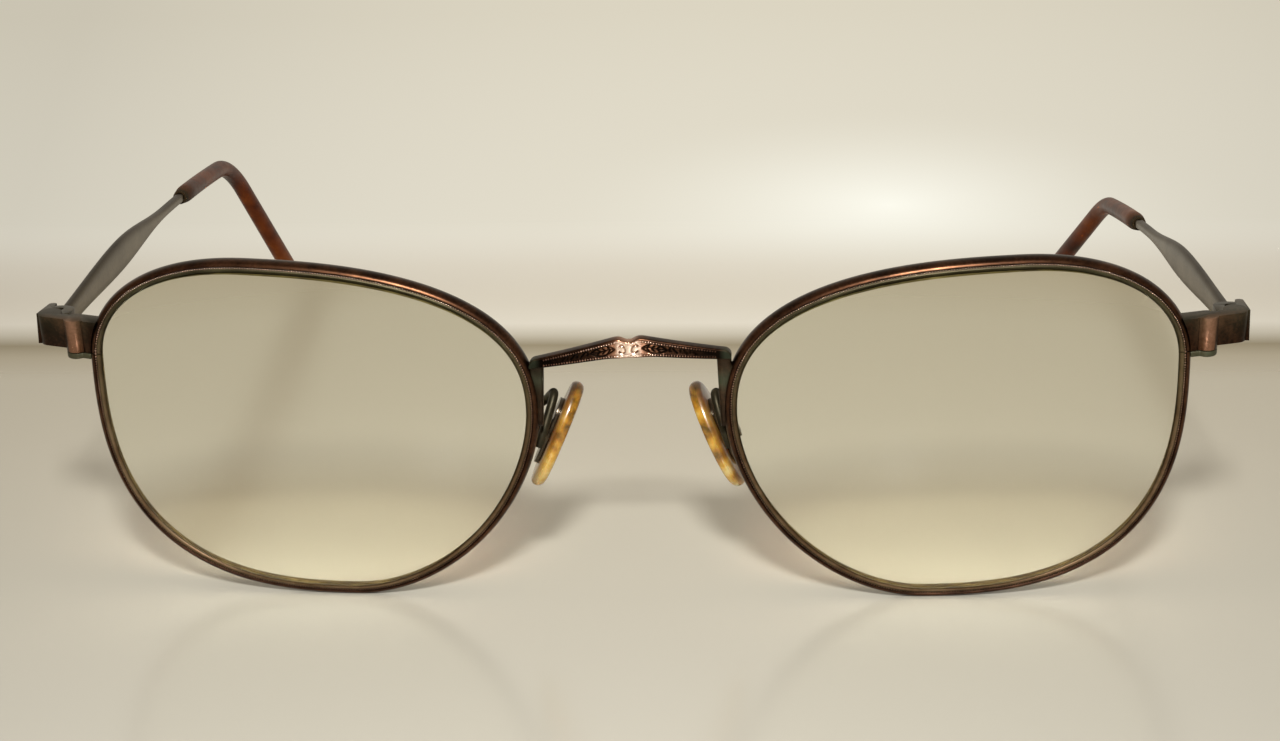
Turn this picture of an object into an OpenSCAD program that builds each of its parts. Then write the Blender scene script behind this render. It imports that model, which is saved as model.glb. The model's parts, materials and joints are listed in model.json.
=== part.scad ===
// Full-rim wire eyeglasses, standing open on a table on both rims and both temple tips.
// +X is to the right seen from the front, the front looks along -Y, +Z is up, millimetres.
// Left and right are those of someone looking at the front.

/* [Lens openings and rims] */
// Width of one lens opening, lip to lip
eye_w = 47.8; // [44:0.2:52]
// Height of one lens opening, lip to lip
eye_h = 37.8; // [34:0.2:42]
// Nose gap between the two lens openings
bridge_w = 23.2; // [21:0.1:26]
// Height of the widest point on the temple side, above the middle of the opening
side_rise = 7.4; // [5:0.1:8]
// Height of the widest point on the nose side, above the middle of the opening
nose_rise = 2.9; // [1:0.1:5]
// Shift of the highest point towards the temple
top_shift = 6.0; // [3:0.1:9]
// Shift of the lowest point towards the nose
low_shift = 3.6; // [1:0.1:6]
// Fullness of the four corners, where 2 is an ellipse: upper temple side
full_top_side = 2.15; // [2:0.05:2.8]
// Fullness of the upper nose corner
full_top_nose = 2.35; // [2:0.05:2.8]
// Fullness of the lower nose corner
full_low_nose = 1.8; // [1.7:0.05:2.4]
// Fullness of the lower temple corner
full_low_side = 2.8; // [2.2:0.05:3]
// Thickness of the rim wire, seen from the front
rim_wall = 1.35; // [1.1:0.05:1.8]
// Depth of the rim wire, front to back
rim_depth = 2.0; // [1.7:0.1:2.6]
// Depth of the groove that holds the lens
groove = 0.5; // [0.3:0.05:0.7]
// Half width of the groove at its mouth
groove_half = 0.5; // [0.3:0.05:0.7]
// Radius of the meniscus that the rims follow
rim_curve_r = 95; // [75:5:150]
// Cut in the rim where the two closing blocks meet
rim_gap = 0.12; // [0.05:0.01:0.3]

/* [Lenses] */
// Radius of the front of the lens
lens_front_r = 70; // [62:1:95]
// Radius of the back of the lens
lens_back_r = 330; // [200:10:600]
// Least flat left on the lens edge beside its bevel
edge_land = 0.15; // [0.05:0.05:0.5]
// Clearance between lens and rim
lens_clear = 0.05; // [0.02:0.01:0.1]

/* [Set of the front] */
// Lean of the front, top forwards, against the temples
lean = 9.5; // [6:0.5:12]
// Turn of each rim round the face
wrap = 4; // [2:0.5:7]

/* [Bridge] */
// Thickness of the bridge strip, front to back
bridge_t = 1.2; // [1:0.1:2]
// Height of the upper edge at the ends, above the middle of the lens
bridge_top = 9.5; // [8.5:0.1:11]
// Height of the strip at its ends
bridge_end_h = 1.05; // [0.9:0.05:2]
// Rise of the upper edge from the ends to the middle
bridge_rise = 2.75; // [1.5:0.05:3.5]
// Rise of the lower edge from the ends to the middle
bridge_under_rise = 1.55; // [0.6:0.05:1.8]
// Tilt of the bridge, right end up
bridge_tilt = 3; // [-4:0.5:4]
// Depth of the notch in the middle of the upper edge
notch_d = 0.7; // [0.4:0.05:1.1]
// Width of that notch
notch_w = 1.6; // [0.8:0.1:2]
// Depth of the swell in the middle of the lower edge
swell_d = 0.3; // [0.1:0.05:0.6]
// Forward bow of the bridge, seen from above
bridge_bow = 1.0; // [0:0.1:2]
// Thickness of the down-turned ends
strut_w = 1.6; // [1:0.05:1.8]
// Length of the down-turned ends, below the strip
strut_l = 7.5; // [6:0.1:9]

/* [Endpieces and hinges] */
// Reach of an endpiece outwards from the rim
lug_reach = 6.7; // [5.5:0.05:8]
// Height of the upper edge of the endpiece, above the middle of the lens
lug_top = 12.1; // [11.6:0.05:13.5]
// Sweep of the endpiece backwards from the rim
lug_sweep = 16; // [0:1:22]
// Height of the endpiece bar
lug_h = 3.45; // [3.2:0.05:4]
// How far the closing block reaches below the bar
block_drop = 0.3; // [0.2:0.1:1.2]
// Thickness of the endpiece bar, front to back
lug_t = 1.4; // [1:0.1:1.8]
// Radius of the outer front corner of the endpiece
lug_corner_r = 1.3; // [0.6:0.1:1.4]
// Thickness of the closing block behind its face
block_t = 1.9; // [1.6:0.1:2.4]
// Radius of the screw barrel on the closing block
barrel_r = 1.2; // [0.9:0.05:1.3]
// How far the barrel stands in front of the bar
barrel_stand = 0.5; // [0.2:0.05:0.7]
// Thickness of the lower closing block
lower_block_t = 0.65; // [0.6:0.05:1.2]
// Radius of the rim screw
rim_screw_r = 0.5; // [0.35:0.05:0.6]
// Hinge screw axis behind the face of the endpiece
hinge_set = 3.2; // [3:0.1:4]
// Hinge screw axis inwards from the outer face of the endpiece
hinge_inset = 1.85; // [1.8:0.05:2.6]
// Radius of the rounded hinge ears
ear_r = 1.8; // [1.8:0.05:2.2]
// How far the outer wall of the endpiece runs back from its face
ear_wall_l = 6.2; // [5.4:0.1:6.8]
// Height of the slot between the ears
slot_h = 1.6; // [1.2:0.1:2]
// Radius of the temple eye
temple_eye_r = 1.5; // [1.3:0.05:1.55]
// Radius of the hinge screw
hinge_screw_r = 0.6; // [0.5:0.05:0.7]
// Running clearance of the hinge, on each side
hinge_clear = 0.05; // [0.03:0.01:0.08]

/* [Temples] */
// Distance from the hinge to the start of the ear bend
bend_reach = 91.5; // [80:0.5:96]
// Height of the flat paddle at its widest
paddle_h = 4.0; // [2.8:0.1:4.5]
// Distance from the front end of the temple to the widest point of the paddle
paddle_at = 27; // [15:1:28]
// Length over which the paddle narrows to the wire
paddle_taper = 27; // [18:1:34]
// Height of the temple at its front end
root_h = 2.6; // [1.8:0.1:3.2]
// Thickness of the temple, inside to outside
temple_t = 1.2; // [0.9:0.1:1.4]
// Diameter of the wire behind the paddle
wire_d = 1.2; // [1:0.1:1.5]
// Radius of the ear bend
bend_r = 16.5; // [14:0.5:30]
// Slope that each temple loses between hinge and ear bend
temple_bow = 7; // [0:0.1:8]
// Inward curve of each temple between hinge and ear bend
temple_curve = 0.7; // [0:0.1:7]
// Turn of the tips towards the head
tip_turn = 14; // [4:1:16]
// Upward set of the left temple at its hinge
left_tilt = 4.2; // [-1:0.1:5]
// Upward set of the right temple at its hinge
right_tilt = 0.2; // [-1:0.1:5]
// Outward set of the left temple
left_splay = 2.5; // [-2:0.1:5]
// Outward set of the right temple
right_splay = -1.3; // [-2:0.1:5]
// Ear bend of the left temple
left_bend = 43; // [26:0.5:50]
// Ear bend of the right temple
right_bend = 28; // [26:0.5:50]

/* [Temple tips] */
// Distance from the hinge to the mouth of the tip
tip_reach = 65; // [60:0.5:70]
// Diameter of the tip at its mouth
tip_mouth_d = 1.9; // [1.8:0.1:2.4]
// Diameter of the tip at the ear bend
tip_d = 2.4; // [2.2:0.1:3.2]
// Height of the tip near its end
tip_end_h = 3.4; // [2.6:0.1:4.5]
// Thickness of the tip near its end
tip_end_t = 2.6; // [2.2:0.1:3]
// Length of the rounded end
tip_round = 1.7; // [1:0.1:2.5]
// Length of core wire inside the tip, from the mouth
core_l = 44; // [38:1:50]
// Clearance round the core wire
core_clear = 0.04; // [0.02:0.01:0.08]

/* [Nose pads] */
// Length of a nose pad
pad_l = 13; // [11:0.5:15]
// Width of a nose pad
pad_w = 7.6; // [6:0.2:9]
// Thickness of a nose pad
pad_t = 1.6; // [1.5:0.1:2.4]
// Pad centre inwards from the outer edge of the rim
pad_inset = 1.3; // [0.4:0.1:2]
// Pad centre behind the middle of the lenses
pad_back = 8.0; // [7:0.1:10]
// Pad centre below the middle of the lenses
pad_drop = 1.8; // [0:0.1:4]
// Lean of the pads, tops together
pad_lean = 24; // [14:1:28]
// Splay of the pads, fronts together
pad_splay = 4; // [0:1:20]
// Thickness of the metal plate on the back of the pad
plate_t = 0.5; // [0.3:0.05:0.6]
// Radius of the wire of the pad arm
arm_r = 0.5; // [0.4:0.05:0.6]
// Distance of the pad screw above the plate
screw_rise = 1.15; // [1.05:0.05:1.6]
// Radius of the pad screw
pad_screw_r = 0.38; // [0.3:0.02:0.45]
// Clearance of the pad tab in its box and on its screw
pad_clear = 0.05; // [0.03:0.01:0.08]

/* [Hidden] */
$fn = 48;

metal = "#5a4238";
dark_metal = "#3f2f27";
worn_metal = "#6d6152";
steel = "#8d867b";
tip_brown = "#6b3a1c";
honey = "#c8923c";
lens_tint = [0.80, 0.80, 0.62, 0.45];

// Steps of the outline in each quarter, and sides of the wires
quarter_steps = 18;
wire_sides = 8;
tip_sides = 12;
lens_rings = [0.06, 0.4, 0.7, 0.9];

// Brazed seams sink this far into the rim
braze = 0.12;
// Depth and width of the engraved line in the closing block and the rim
line_d = 0.12;
line_w = 0.25;
// How far a cutting shape runs past what it cuts
past = 1;

// Middle of a lens from the middle of the frame
lens_x = (eye_w + bridge_w) / 2;

// Outline of a lens opening, from four quarters of a superellipse.
// Angles run from the temple side over the top, the nose side and the bottom.
function quarter_of(a) = floor((a % 360) / 90);
function fullness(q) = [full_top_side, full_top_nose, full_low_nose, full_low_side][q];
function side_sign(q) = q == 0 || q == 3 ? 1 : -1;
function up_sign(q) = q < 2 ? 1 : -1;
function from_side(a, q) = q == 0 ? a : q == 1 ? 180 - a : q == 2 ? a - 180 : 360 - a;
function side_y(q) = side_sign(q) > 0 ? side_rise : nose_rise;
function end_x(q) = up_sign(q) > 0 ? top_shift : -low_shift;
function half_x(q) = abs(side_sign(q) * eye_w / 2 - end_x(q));
function half_y(q) = abs(up_sign(q) * eye_h / 2 - side_y(q));
function lip(a) =
    let (b = a % 360, q = quarter_of(b), t = from_side(b, q), n = fullness(q))
    [end_x(q) + side_sign(q) * half_x(q) * pow(max(cos(t), 0), 2 / n),
     side_y(q) + up_sign(q) * half_y(q) * pow(max(sin(t), 0), 2 / n)];
function lip_normal(a) =
    let (b = a % 360, q = quarter_of(b), t = from_side(b, q), n = fullness(q),
         g = [side_sign(q) * pow(max(cos(t), 0), 2 - 2 / n) / half_x(q),
              up_sign(q) * pow(max(sin(t), 0), 2 - 2 / n) / half_y(q)])
    g / norm(g);
function lip_out(a, d) = lip(a) + lip_normal(a) * d;

// Sag of a spherical surface at a point of the lens plane
function sag(r, p) = r - sqrt(r * r - p.x * p.x - p.y * p.y);

// A point of the lens plane with its depth, turned round the face and moved to its side
function seat(p, w) =
    [lens_x + p.x * cos(wrap) - w * sin(wrap), p.x * sin(wrap) + w * cos(wrap), p.y];
// The same after the front has been leaned forwards
function leaned(p) = [p.x, p.y * cos(lean) - p.z * sin(lean), p.y * sin(lean) + p.z * cos(lean)];

// Where the rim is cut, on the temple side
split_v = lug_top - lug_h - block_drop - rim_gap / 2;
function cut_angle(v) =
    asin(pow((v - side_rise) / (eye_h / 2 - side_rise), full_top_side / 2));
cut_above = cut_angle(split_v + rim_gap / 2);
cut_below = cut_angle(split_v - rim_gap / 2);
rim_steps = 4 * quarter_steps;
rim_angles = [
    for (i = [0 : rim_steps]) cut_above + (360 + cut_below - cut_above) * i / rim_steps
];

// Section of the rim wire: outwards from the lip, then front to back
half_d = rim_depth / 2;
rim_section = [
    [groove, 0],
    [0, groove_half],
    [0, half_d - 0.1],
    [0.15, half_d],
    [rim_wall * 0.6, half_d],
    [rim_wall * 0.9, half_d * 0.65],
    [rim_wall, 0.05],
    [rim_wall * 0.92, -half_d * 0.6],
    [rim_wall * 0.64, -half_d],
    [rim_wall * 0.46, -half_d + line_d],
    [rim_wall * 0.34, -half_d],
    [0.08, -half_d + 0.06],
    [0, -half_d + 0.2],
    [0, -groove_half]
];
rim_rings = [
    for (a = rim_angles) [
        for (s = rim_section)
            let (p = lip_out(a, s.x))
            seat(p, sag(rim_curve_r, lip(a)) + s.y)
    ]
];

// Lens: its depth is worked out so that both faces clear the bevel all the way round
bevel_half = groove_half - lens_clear;
edge_angles = [for (i = [0 : rim_steps - 1]) 360 * i / rim_steps];
lens_front_w = min([
    for (a = edge_angles)
        let (p = lip(a))
        sag(rim_curve_r, p) - bevel_half - edge_land - sag(lens_front_r, p)
]);
lens_back_w = max([
    for (a = edge_angles)
        let (p = lip(a))
        sag(rim_curve_r, p) + bevel_half + edge_land - sag(lens_back_r, p)
]);
function front_ring(k) = [
    for (a = edge_angles)
        let (p = lip_out(a, -lens_clear) * k)
        seat(p, lens_front_w + sag(lens_front_r, p))
];
function back_ring(k) = [
    for (a = edge_angles)
        let (p = lip_out(a, -lens_clear) * k)
        seat(p, lens_back_w + sag(lens_back_r, p))
];
function bevel_ring(out, w) = [
    for (a = edge_angles) seat(lip_out(a, out), sag(rim_curve_r, lip(a)) + w)
];
lens_skin = concat(
    [for (k = lens_rings) front_ring(k)],
    [front_ring(1)],
    [bevel_ring(-lens_clear, -bevel_half)],
    [bevel_ring(groove - lens_clear, 0)],
    [bevel_ring(-lens_clear, bevel_half)],
    [back_ring(1)],
    [for (i = [len(lens_rings) - 1 : -1 : 0]) back_ring(lens_rings[i])]
);

// Height of the lens middle above the table, so that the rims stand on it
lens_z = -min([for (ring = rim_rings) for (p = ring) leaned(p).z]);

// Endpiece: the rim's outer edge at its height, and the hinge axis
lug_mid = lug_top - lug_h / 2;
rim_side = seat([eye_w / 2 + rim_wall, lug_mid], sag(rim_curve_r, [eye_w / 2, lug_mid]));
lug_front = rim_side.y - half_d;
barrel_out = 1.95;
// Turns a point of the endpiece's plan, given from the rim's edge, back by the sweep
function swept(x, y) =
    [rim_side.x + x * cos(lug_sweep) - y * sin(lug_sweep),
     lug_front + x * sin(lug_sweep) + y * cos(lug_sweep)];
outer_corner = swept(lug_reach, 0);
lug_out = outer_corner.x;
hinge_x = lug_out - hinge_inset;
face_y = leaned([0, outer_corner.y, lug_top]).y;
hinge_y = face_y + hinge_set;
ear_top = leaned([0, outer_corner.y, lug_top]).z;
ear_bottom = leaned([0, outer_corner.y, lug_top - lug_h]).z;
hinge_z = (ear_top + ear_bottom) / 2;
ear_h = ear_top - ear_bottom;
ear_wall_in = temple_t / 2 + 0.35;
ear_wall_r = (hinge_inset - ear_wall_in) / 2;
eye_plate_t = slot_h - 2 * hinge_clear;
neck_l = ear_r + 0.25;
screw_head_h = 0.45;
screw_head_r = 0.95;
rim_head_h = 0.3;
rim_head_r = 0.8;
driver_slot = 0.25;

// Temple: a line that bows down a little, then the ear bend, then straight to the table.
// Stations are distances from the front end of the temple.
bend_from = bend_reach - neck_l;
tip_from = tip_reach - neck_l;
straight_step = (bend_from - tip_from) / 4;
tip_stations = [for (i = [0 : 4]) tip_from + straight_step * i];
paddle_steps = 16;
bend_steps = 6;
drop_steps = 5;
function aim(slope, out) = [sin(out) * cos(slope), cos(out) * cos(slope), sin(slope)];
// Slope and outward angle of a temple at a share of its straight run or of its bend
function run_aim(set, s) =
    aim(set[0] - temple_bow * s / bend_from, set[1] - temple_curve * s / bend_from);
function bend_aim(set, k) =
    aim(set[0] - temple_bow - set[2] * k, set[1] - temple_curve - tip_turn * k);
left_set = [left_tilt, left_splay, left_bend];
right_set = [right_tilt, right_splay, right_bend];
temple_start = [hinge_x, hinge_y + neck_l, hinge_z];
run_stations = concat(
    [for (i = [0 : paddle_steps - 1]) tip_from * i / paddle_steps],
    tip_stations
);
function bend_length(set) = bend_r * set[2] * PI / 180;
// Points of the run, each reached from the one before it along the mean aim
function run_points(set) = [
    for (i = 0, p = temple_start; i < len(run_stations);
         step = i + 1 < len(run_stations) ? run_stations[i + 1] - run_stations[i] : 0,
         mid = run_stations[i] + step / 2,
         p = p + run_aim(set, mid) * step, i = i + 1) p
];
function bend_points(set, from) = [
    for (i = 0, p = from; i <= bend_steps;
         p = p + bend_aim(set, (i + 0.5) / bend_steps) * bend_length(set) / bend_steps, i = i + 1) p
];
// The round end touches the table when its centre is this high
function end_height(set) =
    let (slope = temple_bow + set[2] - set[0])
    norm([tip_round * sin(slope), tip_end_h / 2 * cos(slope)]);
function drop_length(set, from) =
    (from.z + lens_z - end_height(set)) / -bend_aim(set, 1).z;
// Each station of a tip or temple: its point, its aim and its distance from the tip's mouth
function temple_path(set) =
    let (run = run_points(set), bend = bend_points(set, run[len(run) - 1]),
         last = bend[bend_steps], drop = drop_length(set, last), far = bend_aim(set, 1))
    concat(
        [for (i = [0 : len(run) - 2]) [run[i], run_aim(set, run_stations[i]), run_stations[i]]],
        [for (i = [0 : bend_steps])
            [bend[i], bend_aim(set, i / bend_steps), bend_from + bend_length(set) * i / bend_steps]],
        [for (i = [1 : drop_steps])
            [last + far * drop * i / drop_steps, far,
             bend_from + bend_length(set) + drop * i / drop_steps]]
    );
left_path = temple_path(left_set);
right_path = temple_path(right_set);
// Smooth change from 0 to 1
function ease(t) = (1 - cos(180 * min(max(t, 0), 1))) / 2;
function paddle_half(s) =
    s < paddle_at
    ? root_h / 2 + (paddle_h - root_h) / 2 * ease(s / paddle_at)
    : paddle_h / 2 - (paddle_h - wire_d) / 2 * ease((s - paddle_at) / paddle_taper);
function thick_half(s) =
    temple_t / 2 + (wire_d - temple_t) / 2 * ease((s - paddle_at) / paddle_taper);
// A ring round a station: half thickness sideways, half height upwards
function ring_at(at, thick, high, sides, square) =
    let (along = at[1], flat = norm([along.x, along.y]),
         side = [along.y, -along.x, 0] / flat, up = cross(side, along))
    [for (j = [0 : sides - 1])
        let (a = 360 * (j + 0.5) / sides, c = cos(a), s = sin(a))
        at[0] + side * thick * sign(c) * pow(abs(c), 2 / square)
              + up * high * sign(s) * pow(abs(s), 2 / square)];
temple_square = 2.6;
front_aim = [0, 1, 0];
function temple_rings(path) = [
    for (i = [0 : len(path) - 1])
        let (at = path[i])
        if (at[2] <= tip_from + core_l)
            ring_at([at[0], i == 0 ? front_aim : at[1]], thick_half(at[2]), paddle_half(at[2]),
                    wire_sides, temple_square)
];
mouth_l = 4;
function tip_half(s, end) =
    let (t = s - tip_from)
    t < mouth_l
    ? tip_mouth_d / 2 + (tip_d - tip_mouth_d) / 2 * ease(t / mouth_l)
    : tip_d / 2 + (end - tip_d) / 2 * ease((s - bend_from) / bend_from);
function tip_outer(path) = [
    for (at = path)
        if (at[2] >= tip_from - 0.01)
            ring_at(at, tip_half(at[2], tip_end_t), tip_half(at[2], tip_end_h), tip_sides, 2)
];
round_steps = 4;
function tip_end_rings(path) =
    let (last = path[len(path) - 1])
    [for (i = [1 : round_steps])
        let (a = 84 * i / round_steps)
        ring_at([last[0] + last[1] * tip_round * sin(a), last[1]],
                tip_half(last[2], tip_end_t) * cos(a), tip_half(last[2], tip_end_h) * cos(a),
                tip_sides, 2)];
// The bore goes on past the end of the core; its corners stand out to clear the wire's flats
bore_end = tip_from + core_l + 8;
bore_r = wire_d / 2 + core_clear + 0.06;
function tip_bore(path) = [
    for (at = path)
        if (at[2] >= tip_from - 0.01 && at[2] <= bore_end) ring_at(at, bore_r, bore_r, tip_sides, 2)
];
function reversed(list) = [for (i = [len(list) - 1 : -1 : 0]) list[i]];

// Shift that puts the middle of the whole object over the origin
function side_most(path) = max(lug_out, max([for (at = path) at[0].x]) + tip_end_t / 2);
mid_x = (side_most(right_path) - side_most(left_path)) / 2;
front_most = min([for (ring = lens_skin) for (p = ring) leaned(p).y]);
function last_of(path) = path[len(path) - 1][0];
back_most = max(last_of(left_path).y, last_of(right_path).y) + tip_round;
mid_y = (front_most + back_most) / 2;

// Nose pads: a frame of their own, +X away from the nose, +Z up the pad
pad_x = lens_x - eye_w / 2 - rim_wall - pad_inset;
pad_middle = [pad_x, pad_back, -pad_drop];
function pad_point(p) =
    let (tilted = [p.x * cos(pad_lean) - p.z * sin(pad_lean), p.y,
                   p.x * sin(pad_lean) + p.z * cos(pad_lean)])
    pad_middle + [tilted.x * cos(pad_splay) + tilted.y * sin(pad_splay),
                  -tilted.x * sin(pad_splay) + tilted.y * cos(pad_splay), tilted.z];
plate_x = pad_t / 2 + plate_t;
pad_screw_x = plate_x + screw_rise;
tab_r = 0.75;
tab_t = 1.0;
box_floor_t = 0.4;
box_wall_t = 0.6;
box_l = 2.2;
box_open_x = plate_x + 0.35;
box_floor_x = pad_screw_x + tab_r + 0.1;
box_w = tab_t + 2 * pad_clear + 2 * box_wall_t;
pad_steps = 28;
// Sections of the pad through its thickness: place, then how far the edge is drawn in
pad_sections = [[-0.5, 1.3], [-0.44, 0.6], [-0.26, 0.16], [0.05, 0], [0.32, 0.12], [0.5, 0.5]];
function pad_edge(a, draw) =
    let (c = cos(a), s = sin(a))
    [(pad_w / 2 - draw) * c * (1 - 0.10 * s), (pad_l / 2 - draw) * s];

// Pad arm: from the back of the rim up, over and down to the box
foot_v = -2.4;
foot = leaned(seat([-(eye_w / 2 + 0.7), foot_v],
                   sag(rim_curve_r, [eye_w / 2, foot_v]) + half_d + arm_r - braze));
arm_rise = [-0.75, 0.35, 2.2];
loop_back = 2.0;
loop_share = 0.42;
loop_in = 0.5;
loop_top = [pad_x, foot.y + loop_back, pad_middle.z + pad_l * loop_share];
arm_in = pad_point([box_floor_x + box_floor_t - arm_r - 0.1, 0, box_l / 2 - braze]);
arm_points = [
    foot,
    foot + arm_rise,
    loop_top,
    pad_point([box_floor_x - loop_in, -loop_in, box_l / 2 + arm_rise.z]),
    pad_point([box_floor_x + 0.1, 0, box_l / 2 + 0.9]),
    arm_in
];
// Curve through all points of a list
function curve_at(p, i, t) =
    let (n = len(p) - 1, a = p[max(i - 1, 0)], b = p[i], c = p[i + 1], d = p[min(i + 2, n)])
    0.5 * ((2 * b) + (c - a) * t + (2 * a - 5 * b + 4 * c - d) * t * t
           + (3 * b - a - 3 * c + d) * t * t * t);
arm_steps = 5;
arm_curve = concat(
    [
        for (i = [0 : len(arm_points) - 2]) for (k = [0 : arm_steps - 1])
            curve_at(arm_points, i, k / arm_steps)
    ],
    [arm_in]
);
function arm_aim(i) =
    let (a = arm_curve[max(i - 1, 0)], b = arm_curve[min(i + 1, len(arm_curve) - 1)])
    (b - a) / norm(b - a);
// Rings of a bent wire, kept from twisting by a fixed reference direction
function wire_ring(c, along, r) =
    let (u = cross(along, [0.35, 1, 0.1]), side = u / norm(u), up = cross(side, along))
    [for (j = [0 : wire_sides - 1])
        let (a = 360 * (j + 0.5) / wire_sides)
        c + side * r * cos(a) + up * r * sin(a)];

// Joins a row of rings into one closed skin; the first corner sees the whole of each end
module skin(rings) {
    sides = len(rings[0]);
    last = (len(rings) - 1) * sides;
    points = [for (ring = rings) for (p = ring) p];
    walls = [
        for (i = [0 : len(rings) - 2]) for (j = [0 : sides - 1])
            let (a = i * sides + j, b = i * sides + (j + 1) % sides)
            each [[a, b, b + sides], [a, b + sides, a + sides]]
    ];
    near_end = [for (j = [1 : sides - 2]) [0, j + 1, j]];
    far_end = [for (j = [1 : sides - 2]) [last, last + j, last + j + 1]];
    polyhedron(points, concat(walls, near_end, far_end));
}

// Places
module place() {
    translate([-mid_x, -mid_y, lens_z]) children();
}

module lean_front() {
    rotate([lean, 0, 0]) children();
}

module on_right() {
    place() children();
}

module on_left() {
    place() mirror([1, 0, 0]) children();
}

// Rims and lenses, built for the right side
module rim() {
    color(metal) lean_front() skin(rim_rings);
}

module lens() {
    color(lens_tint) lean_front() skin(lens_skin);
}

// Everything inside the rim's outer edge, for fitting what is brazed to it
module rim_disc(depth) {
    translate([lens_x, 0, 0]) rotate([0, 0, wrap]) rotate([90, 0, 0])
        linear_extrude(2 * depth, center = true)
            polygon([for (a = edge_angles) lip_out(a, rim_wall - braze)]);
}

// Bridge: upper and lower edge by formula, ends turned down along the rims
function bridge_span() = lens_x - eye_w / 2 - rim_wall + 0.75;
function hump(x, w) = exp(-pow(2 * x / w, 2));
function bridge_high(x) =
    bridge_top + bridge_rise * (1 - abs(x) / bridge_span()) - notch_d * hump(x, notch_w);
function bridge_low(x) =
    bridge_top - bridge_end_h + bridge_under_rise * (1 - abs(x) / bridge_span())
    - swell_d * hump(x, notch_w * 2.2);
bridge_w_at = seat([-(eye_w / 2 + rim_wall), nose_rise], sag(rim_curve_r, [eye_w / 2, nose_rise])).y;
function bridge_mid_w(x) = bridge_w_at - bridge_bow * (1 - pow(x / bridge_span(), 2));
bridge_steps = 44;
edge_break = 0.2;
function bridge_ring(x, draw) =
    let (t = bridge_t / 2, w = bridge_mid_w(x), rise = x * tan(bridge_tilt),
         hi = bridge_high(x) - draw + rise, lo = bridge_low(x) + rise, e = edge_break)
    [[x, w - t, lo + e], [x, w - t, hi - e], [x, w - t + e, hi], [x, w + t - e, hi],
     [x, w + t, hi - e], [x, w + t, lo + e], [x, w + t - e, lo], [x, w - t + e, lo]];
module bridge_strip() {
    span = bridge_span();
    skin([
        for (i = [0 : bridge_steps])
            let (x = -span + 2 * span * i / bridge_steps)
            bridge_ring(x, abs(x) > span - 0.1 ? 0.35 : 0)
    ]);
}

module bridge_strut(rise) {
    span = bridge_span();
    top = bridge_top - bridge_end_h + 0.3 + rise;
    bottom = bridge_top - bridge_end_h - strut_l;
    lean_in = 0.35;
    difference() {
        translate([0, bridge_w_at + bridge_t / 2 - 0.05, 0]) rotate([90, 0, 0])
            linear_extrude(bridge_t - 0.1)
                polygon([[span - strut_w, top], [span - strut_w + lean_in, bottom],
                         [span + 1.5, bottom], [span, top]]);
        rim_disc(20);
    }
}

module bridge() {
    color(dark_metal) lean_front() {
        bridge_strip();
        bridge_strut(bridge_span() * tan(bridge_tilt));
        mirror([1, 0, 0]) bridge_strut(-bridge_span() * tan(bridge_tilt));
    }
}

// Closing block and endpiece in plan: out from the rim's edge and back from the front
module swept_plan() {
    translate([rim_side.x, lug_front]) rotate(lug_sweep) children();
}

module block_plan() {
    translate([-2.5, 0]) square([barrel_out + 2.5, block_t]);
    translate([barrel_out, barrel_r - barrel_stand]) circle(barrel_r);
}

module bar_plan() {
    r = lug_corner_r;
    translate([barrel_out, 0]) square([lug_reach - r - barrel_out, lug_t]);
    translate([lug_reach - r, r]) circle(r);
}

module upright_plan(from, to) {
    translate([0, 0, from]) linear_extrude(to - from) swept_plan() children();
}

// Ears that carry the temple, square to the hinge screw, and the wall outside them
module ears() {
    translate([hinge_x, hinge_y, ear_bottom]) linear_extrude(ear_h) {
        circle(ear_r);
        translate([-ear_r, -hinge_set + 1]) square([ear_r + hinge_inset, hinge_set - 1]);
        translate([ear_wall_in, -hinge_set + 1])
            square([hinge_inset - ear_wall_in, ear_wall_l - 1 - ear_wall_r]);
        translate([ear_wall_in + ear_wall_r, ear_wall_l - hinge_set - ear_wall_r]) circle(ear_wall_r);
    }
}

module ear_slot() {
    r = temple_eye_r + 0.15;
    translate([hinge_x, hinge_y, hinge_z - slot_h / 2]) {
        cylinder(h = slot_h, r = r);
        translate([-ear_r - past, -r, 0]) cube([ear_r + past, ear_r + r + past, slot_h]);
        cube([ear_wall_in, ear_wall_l, slot_h]);
    }
}

module rim_screw_at() {
    at = swept(barrel_out, barrel_r - barrel_stand);
    translate([at.x, at.y, split_v]) rotate(lug_sweep) children();
}

module hinge_at() {
    translate([hinge_x, hinge_y, hinge_z]) children();
}

module endpiece() {
    color(dark_metal) difference() {
        union() {
            lean_front() {
                upright_plan(split_v + rim_gap / 2, lug_top) block_plan();
                upright_plan(lug_top - lug_h, lug_top) bar_plan();
            }
            ears();
        }
        lean_front() {
            rim_disc(20);
            rim_screw_at() cylinder(h = 2.6, r = rim_screw_r);
            upright_plan(split_v, lug_top + past)
                translate([0.5, -past]) square([line_w, past + line_d]);
        }
        ear_slot();
        hinge_at() cylinder(h = ear_h + 2 * past, r = hinge_screw_r, center = true);
        hinge_at() translate([0, 0, -ear_h / 2 - past])
            cylinder(h = past + screw_head_h, r = screw_head_r + 0.05);
    }
}

module closing_block() {
    low = split_v - rim_gap / 2 - lower_block_t;
    color(dark_metal) lean_front() difference() {
        upright_plan(low, split_v - rim_gap / 2) block_plan();
        rim_disc(20);
        rim_screw_at() translate([0, 0, -lower_block_t - past])
            cylinder(h = lower_block_t + 2 * past, r = rim_screw_r + 0.03);
        rim_screw_at() translate([0, 0, -rim_gap / 2 - lower_block_t - past])
            cylinder(h = past + rim_head_h, r = rim_head_r + 0.05);
    }
}

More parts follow.
